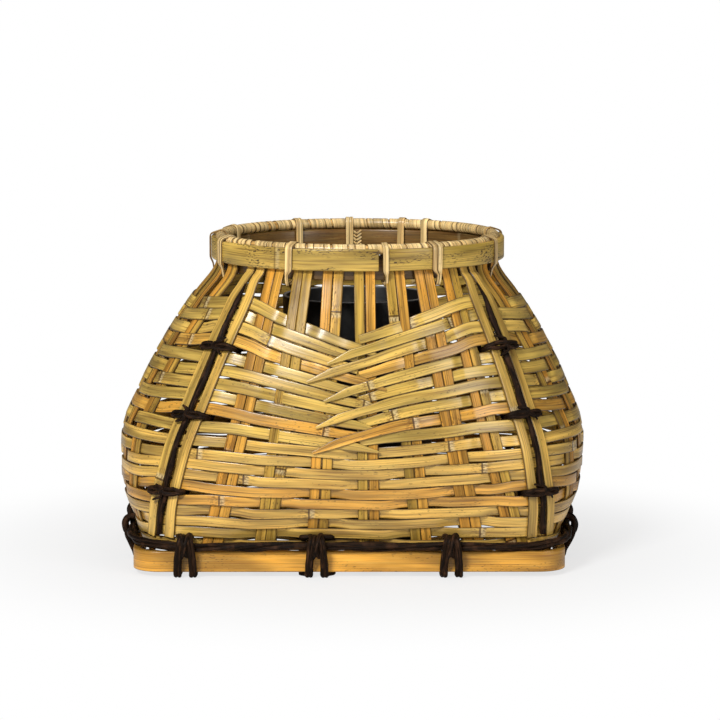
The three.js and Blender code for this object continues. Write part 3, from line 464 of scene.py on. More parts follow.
class Shading:
    """Short words for the nodes of one material or node group."""

    def __init__(self, tree):
        self.tree = tree

    def feed(self, socket, value):
        """Sets a number or colour on a socket, or links it to another."""
        if isinstance(value, (int, float)):
            socket.default_value = value
        elif isinstance(value, tuple):
            socket.default_value = (*value, 1.0)
        else:
            self.tree.links.new(value, socket)

    def node(self, kind, **values):
        node = self.tree.nodes.new("ShaderNode" + kind)
        for key, value in values.items():
            if hasattr(node, key):
                setattr(node, key, value)
            else:
                self.feed(node.inputs[key], value)
        return node

    def calc(self, operation, *values, clamped=False):
        node = self.node("Math", operation=operation, use_clamp=clamped)
        for socket, value in zip(node.inputs, values):
            self.feed(socket, value)
        return node.outputs[0]

    def times(self, *values, clamped=False):
        total = values[0]
        for value in values[1:]:
            total = self.calc("MULTIPLY", total, value, clamped=clamped)
        return total

    def plus(self, a, b, clamped=False):
        return self.calc("ADD", a, b, clamped=clamped)

    def minus(self, a, b):
        return self.calc("SUBTRACT", a, b)

    def scaled(self, value, factor, offset):
        return self.calc("MULTIPLY_ADD", value, factor, offset)

    def ramp(self, value, low, high):
        """0 below low, 1 above high, smooth between."""
        limits = {"From Min": low, "From Max": high}
        return self.node("MapRange", interpolation_type="SMOOTHSTEP", Value=value, **limits).outputs["Result"]

    def fall(self, value, low, high):
        return self.minus(1.0, self.ramp(value, low, high))

    def share_between(self, value, low, high):
        return self.calc("DIVIDE", self.minus(value, low), high - low)

    def brighten(self, colour, factor):
        """A colour made brighter or darker without a change of hue."""
        return self.node("VectorMath", operation="SCALE", Vector=colour, Scale=factor).outputs[0]

    def blend(self, share, a, b):
        """Mixes two colours by a share."""
        node = self.node("Mix", data_type="RGBA")
        for place, value in ((0, share), (6, a), (7, b)):
            self.feed(node.inputs[place], value)
        return node.outputs[2]

    def noise(self, places, scales, detail=2.0, distortion=0.0):
        """Noise over three sockets, such as a length, a width and a seed, each with its own scale."""
        combine = self.node("CombineXYZ")
        for socket, place, scale in zip(combine.inputs, places, scales):
            self.feed(socket, self.times(place, scale))
        return self.node(
            "TexNoise", Vector=combine.outputs[0], Scale=1.0, Detail=detail, Distortion=distortion
        ).outputs["Fac"]

    def split(self, kind, socket):
        node = self.node("Separate" + kind)
        self.feed(node.inputs[0], socket)
        return node.outputs

    def object_axes(self):
        return self.split("XYZ", self.node("TexCoord").outputs["Object"])

    def bump(self, shader, height, strength, distance):
        node = self.node("Bump", Strength=strength, Distance=distance, Height=height)
        self.feed(shader.inputs["Normal"], node.outputs["Normal"])

    def seen_by_camera(self, output, lit, seen, share=None):
        """Shows the camera another surface than the one that lights the basket."""
        rays = self.node("LightPath").outputs["Is Camera Ray"]
        mixer = self.node("MixShader", Fac=rays if share is None else self.times(rays, share))
        self.feed(mixer.inputs[1], lit.outputs[0])
        self.feed(mixer.inputs[2], seen.outputs[0])
        self.feed(self.tree.nodes[output].inputs["Surface"], mixer.outputs[0])


def new_material(name, roughness, **inputs):
    material = bpy.data.materials.new(name)
    material.use_nodes = True
    shader = material.node_tree.nodes["Principled BSDF"]
    shader.inputs["Roughness"].default_value = roughness
    for key, value in inputs.items():
        shader.inputs[key.replace("_", " ")].default_value = value
    return material, Shading(material.node_tree), shader


def linear(red, green, blue):
    """A screen colour of 0 to 255 as the shader's linear colour."""
    def convert(value):
        value /= 255
        return value / 12.92 if value <= 0.04045 else ((value + 0.055) / 1.055) ** 2.4
    return (convert(red), convert(green), convert(blue))


GRAIN_INPUTS = ("Along", "Across", "Seed", "Olive share", "Tan share")
TONE_INPUTS = ("Straw", "Olive", "Tan", "Stain")
MARK_INPUTS = ("Joint spacing", "Joint mark", "Specks", "Fibre width", "Edge shade")
PALE_FIBRE = (0.88, 0.66, 0.22)
JOINT_COLLAR = (0.8, 0.66, 0.38)
JOINT_LINE = (0.06, 0.03, 0.012)
SPECK = (0.05, 0.024, 0.008)
# Near-black brown painted along the edges as shade between neighbouring strips
PAINTED_EDGE_SHADE = (0.06, 0.03, 0.009)


def bamboo_group():
    """Split bamboo along u and across v: fibres, stains, specks and joints, with a painted sheen of lighter
    and darker stretches and painted shade darkening the edges.
    """
    group = bpy.data.node_groups.new("split_bamboo", "ShaderNodeTree")
    for names, kind in ((GRAIN_INPUTS, "Float"), (TONE_INPUTS, "Color"), (MARK_INPUTS, "Float")):
        for name in names:
            group.interface.new_socket(name, in_out="INPUT", socket_type="NodeSocket" + kind)
    for name, kind in (("Color", "Color"), ("Roughness", "Float"), ("Height", "Float")):
        group.interface.new_socket(name, in_out="OUTPUT", socket_type="NodeSocket" + kind)
    s = Shading(group)
    given = group.nodes.new("NodeGroupInput").outputs
    result = group.nodes.new("NodeGroupOutput").inputs
    u, v, seed = (given[name] for name in GRAIN_INPUTS[:3])
    straw, olive, tan, stain = (given[name] for name in TONE_INPUTS)
    spacing, mark, specks, fibre_width, painted_edge_shade = (given[name] for name in MARK_INPUTS)

    strip = (u, v, seed)
    fibres = (u, s.times(v, fibre_width), seed)
    fibre = s.noise(fibres, (24, 9, 60), detail=4)
    fine = s.noise(fibres, (60, 22, 31), detail=3)
    drift = s.noise(strip, (14, 0.9, 93))
    patch = s.noise(strip, (42, 2.2, 47), detail=3, distortion=0.4)
    # Painted sheen: some broad stretches along each strip are made lighter and others darker, as painted
    # highlights and painted shade
    lit = s.ramp(s.noise(strip, (18, 1.4, 17)), 0.28, 0.72)

    olive_share = s.plus(given["Olive share"], s.scaled(drift, 1.7, -0.85), clamped=True)
    tan_share = s.plus(given["Tan share"], s.scaled(patch, 0.9, -0.45), clamped=True)
    colour = s.blend(tan_share, s.blend(olive_share, straw, olive), tan)
    # The painted sheen brightens and darkens the colour
    colour = s.brighten(colour, s.scaled(lit, 0.95, 0.57))
    colour = s.blend(s.times(s.ramp(fibre, 0.48, 0.7), 0.68), colour, stain)
    colour = s.blend(s.times(s.ramp(fine, 0.5, 0.8), 0.3), colour, PALE_FIBRE)

    turn = s.calc("FRACT", s.calc("DIVIDE", u, spacing))
    away = s.times(s.minus(turn, 0.5), spacing)
    reach = s.calc("ABSOLUTE", away)
    line = s.fall(reach, 0.0002, 0.0008)
    collar = s.times(s.ramp(away, 0.0004, 0.0009), s.fall(away, 0.002, 0.004))
    blot = s.ramp(s.noise(fibres, (420, 9, 71), detail=3), 0.46, 0.62)
    blotch = s.times(s.fall(reach, 0.001, 0.009), blot)
    marks = ((collar, 0.5, JOINT_COLLAR), (blotch, 0.75, stain), (line, 0.85, JOINT_LINE))
    for share, strength, tone in marks:
        colour = s.blend(s.times(share, strength, mark), colour, tone)

    dash = s.scaled(specks, 0.05, s.noise(fibres, (420, 7, 13), detail=1))
    where = s.ramp(s.noise(strip, (30, 1.5, 29), detail=1), 0.46, 0.58)
    speck = s.times(s.ramp(dash, 0.645, 0.71), where)
    speck = s.times(speck, s.scaled(specks, 0.3, 0.4), clamped=True)
    colour = s.blend(speck, colour, SPECK)
    # Painted shade: the edges of each strip or band are darkened towards near-black brown, standing in for
    # the shade where it meets its neighbours
    rim = s.calc("ABSOLUTE", s.scaled(v, 2.0, -1.0))
    colour = s.blend(s.times(s.ramp(rim, 0.83, 0.97), painted_edge_shade), colour, PAINTED_EDGE_SHADE)

    height = s.plus(s.times(fibre, 0.55), s.times(fine, 0.2))
    s.feed(result["Color"], colour)
    s.feed(result["Roughness"], s.plus(s.scaled(fibre, 0.22, 0.22), s.times(speck, 0.2), clamped=True))
    s.feed(result["Height"], s.minus(height, s.times(line, 0.5, mark)))
    return group


split_bamboo = bamboo_group()


def strip_coords(s):
    """Along, across, seed and tone shares from a woven piece's own grain map and tone."""
    u, v, _ = s.split("XYZ", s.node("UVMap", uv_map="grain").outputs["UV"])
    olive, tan, seed = s.split("Color", s.node("Attribute", attribute_name="tone").outputs["Color"])
    return u, v, seed, olive, tan


def frame_coords(s):
    """Grain that follows the bent foot band: along x on the long sides and y on the short ones."""
    x, y, z = s.object_axes()
    return s.plus(x, y), s.share_between(z, FRAME.low * MM, FRAME.high * MM), 0.37, 0.0, 0.75


def hoop_coords(s):
    """Grain that follows a hoop round the mouth."""
    x, y, z = s.object_axes()
    turn = s.calc("ARCTAN2", x, s.times(y, -1.0))
    return s.times(turn, RIM_RADIUS * MM), s.share_between(z, HOOP.low * MM, HOOP.high * MM), 0.62, 0.55, 0.05


# edge sets the strength of the painted shade along the edges
def bamboo(
    name, straw, olive, tan, stain, spacing, mark=1.0, specks=0.5, fibres=1.0, edge=0.85, coat=0.3,
    specular=0.5, coords=strip_coords,
):
    material, s, shader = new_material(
        name, 0.4, Coat_Weight=coat, Coat_Roughness=0.24, Specular_IOR_Level=specular
    )
    group = s.node("Group", node_tree=split_bamboo)
    tones = [linear(*tone) for tone in (straw, olive, tan, stain)]
    values = (*coords(s), *tones, spacing, mark, specks, fibres, edge)
    for key, value in zip(GRAIN_INPUTS + TONE_INPUTS + MARK_INPUTS, values):
        s.feed(group.inputs[key], value)
    s.feed(shader.inputs["Base Color"], group.outputs["Color"])
    s.feed(shader.inputs["Roughness"], group.outputs["Roughness"])
    s.bump(shader, group.outputs["Height"], 0.6, 0.00022)
    return material


weft_finish = bamboo(
    "weft_bamboo", (228, 190, 98), (192, 160, 74), (210, 152, 58), (104, 62, 22), WEFT.joints,
    specks=0.25, coat=0.5,
)
stake_finish = bamboo(
    "stake_bamboo", (208, 160, 70), (168, 138, 58), (200, 140, 52), (76, 44, 14), STAKE.joints,
    coat=0.04, specular=0.2,
)
slat_finish = bamboo(
    "slat_bamboo", (220, 180, 90), (188, 156, 72), (206, 154, 66), (116, 76, 32), SLAT.joints,
    specks=0.3,
)
frame_finish = bamboo(
    "frame_bamboo", (228, 174, 76), (210, 162, 72), (220, 156, 52), (132, 78, 26), 0.5,
    mark=0.0, edge=0.3, fibres=2.2, coat=0.1, coords=frame_coords,
)
hoop_finish = bamboo(
    "hoop_bamboo", (226, 188, 94), (170, 140, 54), (196, 146, 58), (96, 64, 24), 0.089,
    mark=0.5, specks=1.9, edge=0.1, fibres=2.4, coat=0.15, coords=hoop_coords,
)
inner_finish = bamboo(
    "inner_hoop_bamboo", (126, 88, 42), (106, 78, 36), (112, 70, 30), (60, 36, 14), 0.12,
    mark=0.3, edge=0.2, fibres=2.4, coat=0.05, coords=hoop_coords,
)
cane_finish = bamboo(
    "cane", (244, 212, 148), (220, 180, 106), (218, 160, 80), (112, 68, 30), 0.9,
    mark=0.0, specks=0.15, coat=0.25,
)


def bark():
    """Dark vine bark with grey-brown streaks along it."""
    material, s, shader = new_material("vine_bark", 0.6, Specular_IOR_Level=0.1)
    u, v, seed, _, _ = strip_coords(s)
    turn = s.times(v, FULL_TURN)
    x, y = s.calc("COSINE", turn), s.calc("SINE", turn)
    streak = s.noise((u, x, y), (60, 2.6, 2.6), detail=4, distortion=0.5)
    patch = s.ramp(s.noise((u, x, seed), (150, 0.8, 40), detail=3), 0.5, 0.7)
    pores = s.noise((u, x, y), (900, 6, 6))
    colour = s.blend(s.ramp(streak, 0.4, 0.72), (0.005, 0.0025, 0.0012), (0.036, 0.016, 0.007))
    colour = s.blend(s.times(patch, 0.5), colour, (0.1, 0.044, 0.02))
    colour = s.blend(s.times(s.ramp(pores, 0.6, 0.74), 0.35), colour, (0.085, 0.046, 0.022))
    s.feed(shader.inputs["Base Color"], colour)
    s.feed(shader.inputs["Roughness"], s.scaled(streak, 0.35, 0.35))
    s.bump(shader, s.plus(streak, s.times(pores, 0.35)), 0.8, 0.0006)
    return material


def pot_plastic():
    """Satin black plastic with faint turning marks and dried water spots, and a painted highlight along the
    lip.
    """
    material, s, shader = new_material("pot_plastic", 0.34, Specular_IOR_Level=0.45)
    x, y, z = s.object_axes()
    rings = s.noise((z, x, y), (700, 3, 3))
    spots = s.noise((x, y, z), (90, 90, 60), detail=4)
    # Painted highlight: the top of the lip is blended towards pale grey, standing in for light caught by its
    # rounded edge
    lip = s.ramp(z, (POT.high - 0.9) * MM, (POT.high - 0.3) * MM)
    colour = s.blend(s.ramp(spots, 0.55, 0.75), (0.006, 0.006, 0.006), (0.02, 0.019, 0.017))
    s.feed(shader.inputs["Base Color"], s.blend(s.times(lip, 0.5), colour, (0.3, 0.3, 0.29)))
    s.feed(shader.inputs["Roughness"], s.scaled(spots, 0.25, 0.22))
    s.bump(shader, rings, 0.25, 0.0002)
    return material


bark_finish = bark()
pot_finish = pot_plastic()


# Weave


def weft_tone(browned):
    """Olive share, tan share and seed of one strip, with more tan for a browned one."""
    kind = dice.random()
    seed = dice.random()
    if kind < 0.42:
        return (dice.uniform(0.1, 0.4), dice.uniform(0, 0.15) + browned, seed)
    if kind < 0.78:
        return (dice.uniform(0.6, 1.0), dice.uniform(0, 0.12) + browned, seed)
    return (dice.uniform(0, 0.3), dice.uniform(0.55, 0.95), seed)


def row_shift(row, slot, z):
    """Rows part where a tie or a knot passes between them."""
    length = slot_length(slot, z)
    faded = TIE.fade * clamp(row - 1, 0, ROW.flat - 1) + TIE.upper_fade * max(0, row - ROW.flat)
    lift = 0.0 if row < 0.5 else max(0.0, TIE.lift - faded)
    shift = 0.0
    for tie in (tie for side in TIE_SLOTS.values() for tie in side):
        shift = max(shift, plateau(gap(slot, tie) * length, *TIE.parts_rows) * lift)
    for corner in CORNERS:
        near = plateau(gap(slot, corner) * length, *KNOT.parts_rows)
        for knot, spread in zip(KNOT.rows, KNOT.spread):
            push = max(0.0, spread - KNOT.fade * (abs(row - knot) - 0.5))
            shift += near * push * math.copysign(1, row - knot)
    return shift


def row_middle(row):
    lift = 0 if row < ROW.crossed - 0.25 else CROSSING.lift
    return ROW.first + ROW.lower * min(row, ROW.flat) + ROW.upper * max(0, row - ROW.flat) + lift


def row_slope(row):
    flat = ROW.flat
    return ROW_SLOPE.flat * min(row, flat) / flat + ROW_SLOPE.per_row * max(0, row - flat)


def row_height(row, slot, which=0):
    """Height of a row, which dips to the middle of the front and eases on the other sides."""
    place = wrap(slot)
    side = abs(place)
    middle = row_middle(row)
    slope = row_slope(row)
    guess = middle + ROW_SLOPE.guess * slope
    reach = abs(wall_point(FRONT_CORNER, guess).x) * ROW_SLOPE.level
    climb = slope * reach
    z = middle + climb
    if side < FRONT_CORNER:
        x = wall_point(place, guess).x - CROSSING.x
        away = abs(x) if which == 0 else which * x
        share = min(1.0, away / reach)
        z = middle + climb * share + which * CROSSING.half * (1 - max(0.0, share))
    elif side < BACK_CORNER:
        z -= climb * ROW_SLOPE.side * (1 - ((side - SIDE_MIDDLE) / (SIDE_MIDDLE - FRONT_CORNER)) ** 2)
    else:
        z -= climb * ROW_SLOPE.back * (1 - ((HALF_TURN - side) / (HALF_TURN - BACK_CORNER)) ** 2)
    return z + row_shift(row, slot, z)


def between_rows(row, slot):
    return (row_height(row - 0.5, slot) + row_height(row + 0.5, slot)) / 2


def passes_under(row, slot):
    """Over two stakes and under one, a stake further on in each row. Corners aren't counted."""
    place = wrap(slot)
    side = abs(place)
    skipped = 2 if side > BACK_CORNER else 1 if side > FRONT_CORNER else 0
    number = math.copysign(1, place) * (side - skipped)
    return not is_corner(slot) and round(number - row) % 3 == 0


def weft_stations(start, stop, row_at, which=lambda slot: 0):
    """Where a row lies over and under the stakes between two slots."""
    stations = []
    past_stake = STAKE.pair / 2 + 1

    def put(slot, layer):
        if slot < start - 1e-6 or slot > stop + 1e-6:
            return
        room = WEFT.corner_room * plateau(from_corner(slot), *WEFT.corner_reach) if layer > 0 else 0
        stations.append((slot, layer + room, row_height(row_at(slot), slot, which(slot)), 1.0))

    def under(slot):
        return passes_under(round(row_at(slot)), slot)

    for slot in range(math.ceil(start) - 1, math.floor(stop) + 2):
        z = row_height(row_at(slot), slot)
        before = beside(slot, z, -past_stake)
        after = beside(slot, z, past_stake)
        if is_corner(slot):
            put(slot - WEFT.corner_half, WEFT.over)
            put(slot + WEFT.corner_half, WEFT.over)
        elif under(slot):
            put(before, -WEFT.under)
            put(after, -WEFT.under)
        else:
            at_corner = is_corner(slot - 1) or is_corner(slot + 1)
            if at_corner or is_corner(slot - 2) or under(slot - 1):
                put(before, WEFT.over)
            put(after if at_corner or under(slot + 1) else slot + 0.5, WEFT.over)
    return stations


def weave(name, stations, width, browned=0.0):
    """One weft strip through its stations, with the slight wander of a hand-split strip."""
    stations = sorted(stations)
    kept = [stations[0]]
    for station in stations[1:]:
        if station[0] - kept[-1][0] > 0.02:
            kept.append(station)
    slots = [station[0] for station in kept]
    layer, height, taper = (Smooth(slots, [station[k] for station in kept]) for k in (1, 2, 3))
    spacing = WEFT.joints
    start = dice.uniform(0, spacing)
    phase = dice.uniform(0, 6.28)
    own_width = width * dice.uniform(0.98, 1.02)

    def at(slot):
        wander = wave(slot, (0.16, 1.3, phase), (0.08, 3.1, 2 * phase))
        return off_wall(slot, height(slot) + wander, layer(slot))

    samples = spaced(slots[0], slots[-1], round((slots[-1] - slots[0]) / WEFT.step))
    lengths = lengths_of([at(slot) for slot in samples])
    slot_at = Smooth(lengths, samples)
    samples = [slot_at(place) for place in with_joints(lengths, spacing, start)]
    weaver = Weaver()
    lay_strip(
        weaver,
        [at(slot) for slot in samples],
        [wall_normal(slot, height(slot)) for slot in samples],
        [own_width * taper(slot) * lean_of(slot, height(slot)) for slot in samples],
        WEFT.thickness,
        weft_tone(browned),
        [0.03 * math.sin(slot * 0.9 + phase) for slot in samples],
        spacing,
        start,
    )
    weaver.piece(f"{name}_strip", weft_finish, name)


def weave_lower_rows():
    """Strips that go round twice, each turn a row higher, with the step up at the back."""
    climb_from = 13.9
    strips = ROW.crossed // 2
    for k in range(strips):
        def row_at(slot, k=k):
            turn = math.floor((slot + HALF_TURN) / SLOTS)
            place = wrap(slot)
            climb = clamp((abs(place) - climb_from) / (HALF_TURN - climb_from)) / 2
            return 2 * k + turn + math.copysign(climb, place)
        start = -climb_from if k == 0 else -HALF_TURN + 0.05
        stop = SLOTS + (climb_from if k == strips - 1 else HALF_TURN - 0.05)
        weave(f"weft_lower_{k + 1}", weft_stations(start, stop, row_at), WEFT.lower, WEFT.browned)


def weave_upper_rows():
    """Single turns whose ends cross in the middle of the front, one on top and the other tucked in."""
    drawn = CROSSING.drawn
    for row in range(ROW.crossed, ROW.last + 1):
        z = row_middle(row)
        left_stake = wall_point(-1, z).x
        right_stake = wall_point(0, z).x
        right_on_top = row in CROSSING.right_on_top
        reach = CROSSING.upper_reach if row >= CROSSING.upper_from else CROSSING.reach
        ease = 0.5 if row == ROW.crossed else 1.0
        extra = max(0.0, CROSSING.slope - row_slope(row)) * ease
        dip_from = CROSSING.dip_from * ease

        def slot_of(x):
            return (CROSSING.x + x - left_stake) / (right_stake - left_stake) - 1

        def crossing(which, tip):
            on_top = right_on_top == (which > 0)
            stations = []
            for from_tip in [0, drawn * 0.25, drawn * 0.6, drawn] + list(range(drawn + 4, reach + 28, 4)):
                away = from_tip - tip
                if away > reach - 3:
                    continue
                slot = slot_of(which * away)
                lift = 0.0
                dip = 0.0
                if which > 0:
                    eased = max(0, dip_from - max(0, away)) ** 2 / (2 * dip_from)
                    dip = extra * (eased + max(0, -away))
                    lift = 2 * CROSSING.layer * plateau(away, 9, reach - 11) if on_top else 0.0
                elif on_top:
                    lift = CROSSING.layer * plateau(max(0, away), 2, 7)
                full = mix(CROSSING.narrow, 1.0, clamp((away - 8) / 14))
                taper = mix(CROSSING.tip, full, clamp(from_tip / drawn)) if on_top else full
                shaved = (1 - taper) * WEFT.upper * 0.4
                height = row_height(row, slot, which) - dip - shaved
                turn = 0 if which > 0 else SLOTS
                stations.append((slot + turn, WEFT.over + lift, height, taper))
            return stations

        top_tip = dice.uniform(*(CROSSING.right_tip if right_on_top else CROSSING.left_tip))
        right_tip = top_tip if right_on_top else CROSSING.right_tuck
        left_tip = CROSSING.left_tuck if right_on_top else top_tip
        body = weft_stations(
            slot_of(reach),
            SLOTS + slot_of(-reach),
            lambda slot: row,
            lambda slot: 1 if slot < HALF_TURN else -1,
        )
        stations = crossing(1, right_tip) + body + crossing(-1, left_tip)
        weave(f"weft_upper_{row - ROW.crossed + 1}", stations, WEFT.upper)


# Stakes


def stand_stake(name, start_slot, end_slot, crossings):
    """A pair of strips up one wall, across the floor and up the other wall."""
    start = wall_point(start_slot, FOOT)
    end = wall_point(end_slot, FOOT)
    run = Vector((end.x - start.x, end.y - start.y, 0))
    along = run.normalized()
    bend = STAKE.bend / run.length
    route = []
    facings = []

    def wall_part(slot, heights):
        for z in heights:
            route.append(wall_point(slot, z))
            facings.append(wall_normal(slot, clamp(z, *STAKE.facing)))

    def floor_part(share, lift, facing=-UP):
        place = start + run * share
        route.append(Vector((place.x, place.y, STAKE.floor + lift)))
        facings.append(facing)

    heights = spaced(FOOT, BRIM, 40)
    wall_part(start_slot, reversed(heights))
    floor_part(bend * 0.3, STAKE.lift, (-UP - along).normalized())
    floor_part(bend, 0)
    for share, over in crossings:
        floor_part(share, STAKE.wave if over else -STAKE.wave)
    floor_part(1 - bend, 0)
    floor_part(1 - bend * 0.3, STAKE.lift, (-UP + along).normalized())
    wall_part(end_slot, heights)
    lengths = lengths_of(route)
    middle_at = curve_through(lengths, route)
    facing_at = curve_through(lengths, facings)
    weaver = Weaver()
    spacing = STAKE.joints
    wide = name in STAKE.wide
    slit = STAKE.wide_slit if wide else STAKE.slit
    strip_width = (STAKE.pair - slit) / 2
    brown_first = STAKE.wide.get(name, dice.random() < 0.5)
    for half, sign in enumerate((-1, 1)):
        offset = sign * (strip_width + slit) / 2
        first = dice.uniform(0, spacing)
        phase = dice.uniform(0, 6.28)
        places = with_joints(spaced(0, lengths[-1], 190), spacing, first)
        middle = [middle_at(place) for place in places]
        normals = [facing_at(place).normalized() for place in places]
        path = []
        for place, point, normal, tangent in zip(places, middle, normals, tangents_of(middle)):
            across = normal.cross(tangent).normalized()
            path.append(point + across * (offset + wave(place, (0.12, 0.05, phase))))
        brown = brown_first if wide else (half == 0) == brown_first
        share = dice.uniform(0.6, 1.0) if brown else dice.uniform(0, 0.25)
        tone = (dice.uniform(0, 0.3) if brown else dice.uniform(0.45, 1.0), share, dice.random())
        widths = [strip_width * dice.uniform(0.99, 1.0)] * len(path)
        lay_strip(weaver, path, normals, widths, STAKE.thickness, tone, None, spacing, first)
    weaver.piece(f"{name}_pair", stake_finish, name)


def stand_stakes():
    """Pairs from front to back and from side to side, over and under each other on the floor."""
    fronts = range(-3, 4)
    sides = range(5, 11)

    def plait(name, start, stop, others, axis, odd):
        a = wall_point(start, FOOT)[axis]
        b = wall_point(stop, FOOT)[axis]
        shares = [(wall_point(other, FOOT)[axis] - a) / (b - a) for other in others]
        stand_stake(name, start, stop, [(share, (k + odd) % 2 == 0) for k, share in enumerate(shares)])

    for column, slot in enumerate(fronts):
        plait(f"stake_long_{column + 1}", slot, HALF_TURN - slot, sides, 1, column)
    for row, slot in enumerate(sides):
        plait(f"stake_cross_{row + 1}", -slot, slot, fronts, 0, row + 1)


# Corner struts

WEFT_FACE = WEFT.over + WEFT.corner_room + WEFT.thickness / 2
SLAT_OFFSET = WEFT_FACE + SLAT.clear + SLAT.thickness / 2


def set_corner_slats(corner, name):
    for letter, sign in (("a", -1), ("b", 1)):
        points = []
        normals = []
        for z in spaced(SLAT.low, SLAT.high, 60):
            space = mix(SLAT.top_gap, SLAT.gap, plateau(z, *SLAT.closes))
            slot = beside(corner, z, sign * (space + SLAT.width) / 2)
            points.append(off_wall(slot, z, SLAT_OFFSET * plateau(z, *SLAT.sinks)))
            normals.append(wall_normal(slot, z))
        weaver = Weaver()
        tone = (dice.uniform(0.1, 0.7), dice.uniform(0, 0.3), dice.random())
        start = dice.uniform(0, SLAT.joints)
        widths = [SLAT.width] * len(points)
        lay_strip(weaver, points, normals, widths, SLAT.thickness, tone, None, SLAT.joints, start)
        node = f"corner_slat_{name}_{letter}"
        weaver.piece(f"{node}_strip", slat_finish, node)


def tie_corner(corner, name):
    """The vine between a corner's slats, with the cords that tie the strut to the wall."""
    vine = CORNER_VINE.radius
    offset = WEFT_FACE + CLEARANCE + vine
    weaver = Weaver()
    phase = dice.uniform(0, 6)

    def vine_size(t):
        drawn = min(1.0, 0.3 + (1 - t) * 6)
        return vine * drawn * (1 + 0.13 * math.sin(37 * t + phase))

    def lay_cord(row, places, step, size):
        """A cord at a knot, by its places along the wall, out from it and above the gap between the rows."""
        path = []
        for along, out, lift in places:
            slot = beside(corner, between_rows(row, corner), along)
            path.append(off_wall(slot, between_rows(row, slot) + lift, out))
        lay_vine(weaver, resample(path, step), size, sides=8, rough=0.16)

    points = []
    for z in spaced(CORNER_VINE.low, CORNER_VINE.high, 110):
        sway = wave(z, (0.4, 0.09, phase), (0.25, 0.29, 2 * phase))
        points.append(off_wall(beside(corner, z, sway), z, offset + wave(z, (0.2, 0.17, phase))))
    lay_vine(weaver, points, vine_size, rough=0.14)
    reach = SLAT.gap / 2 + SLAT.width + CLEARANCE + KNOT.radius
    over_slat = SLAT_OFFSET + SLAT.thickness / 2 + 0.2 + KNOT.radius
    over_vine = offset + vine + KNOT.radius * 0.6
    inside = -(WEFT.under + WEFT.thickness / 2 + CLEARANCE + KNOT.radius + 0.4)
    for row in KNOT.rows:
        for turn in (-1, 1):
            lean = turn * dice.uniform(1.0, 1.5)
            half = [
                (-reach, inside, 5.0 * turn),
                (-reach, inside, 0.4 * turn),
                (-reach, 0, 0.4 * turn),
                (-reach, over_slat - 1.8, 0.5 * turn),
                (-reach + 1.6, over_slat + 0.1, 0.7 * turn),
                (-reach * 0.55, over_slat + 0.3, lean),
                (-vine * 0.7, over_vine + 0.3 * turn, lean * 0.7),
            ]
            other_half = [(-along, out, -lift) for along, out, lift in reversed(half)]
            lay_cord(row, half + other_half, 0.9, lambda t: KNOT.radius * 0.9)
        for turn in (-1, 1):
            side = dice.choice((-1, 1))
            rise = turn * dice.uniform(3.0, 5.5)
            loose_end = (
                (-0.6 * side, over_vine - 0.4, -0.8 * turn),
                (0.4 * side, over_vine + 1.0, 0.9 * turn),
                (vine + 1.4 * side, over_vine + 0.7, rise * 0.5),
                (side * (vine + 3.6), over_slat + 0.4, rise),
            )
            lay_cord(row, loose_end, 0.7, lambda t: 1.15 - 0.55 * t)
    weaver.piece(f"corner_vine_{name}_cord", bark_finish, f"corner_vine_{name}", angle=60)


# Foot vines and ties


def vine_offset(slot):
    return FOOT_VINE.offset + FOOT_VINE.bulge * plateau(from_corner(slot), *FOOT_VINE.corner_reach)


def lay_foot_vines():
    """Three loosely twisted strands on each side, from tie to tie."""
    front, right, back, left = (TIE_SLOTS[side][-1] for side in ("front", "right", "back", "left"))
    ends = (front, right, back + SLOTS, left + SLOTS, front + SLOTS)
    for k, name in enumerate(("right", "back", "left", "front")):
        start = ends[k] + FOOT_VINE.clear
        stop = ends[k + 1] - FOOT_VINE.clear
        phase = dice.uniform(0, 6)
        weaver = Weaver()
        for strand, thick in enumerate(FOOT_VINE.strands):
            points = []
            for slot in spaced(start, stop, round((stop - start) / FOOT_VINE.step)):
                twist = strand * 2.1 + phase + slot * 1.3 + 0.7 * math.sin(slot * 0.9 + phase)
                spread = FOOT_VINE.spread * (1 + 0.3 * math.sin(slot * 2.3 + strand * 2 + phase))
                z = FOOT_VINE.z + 0.5 * math.sin(slot * 1.6 + phase) + spread * math.sin(twist)
                points.append(off_wall(slot, z, vine_offset(slot) + spread * math.cos(twist), True))
            lay_vine(weaver, points, lambda t: thick * (1 + 0.12 * math.sin(t * 41 + phase)), rough=0.17)
        weaver.piece(f"foot_vine_{name}_length", bark_finish, f"foot_vine_{name}", angle=60)


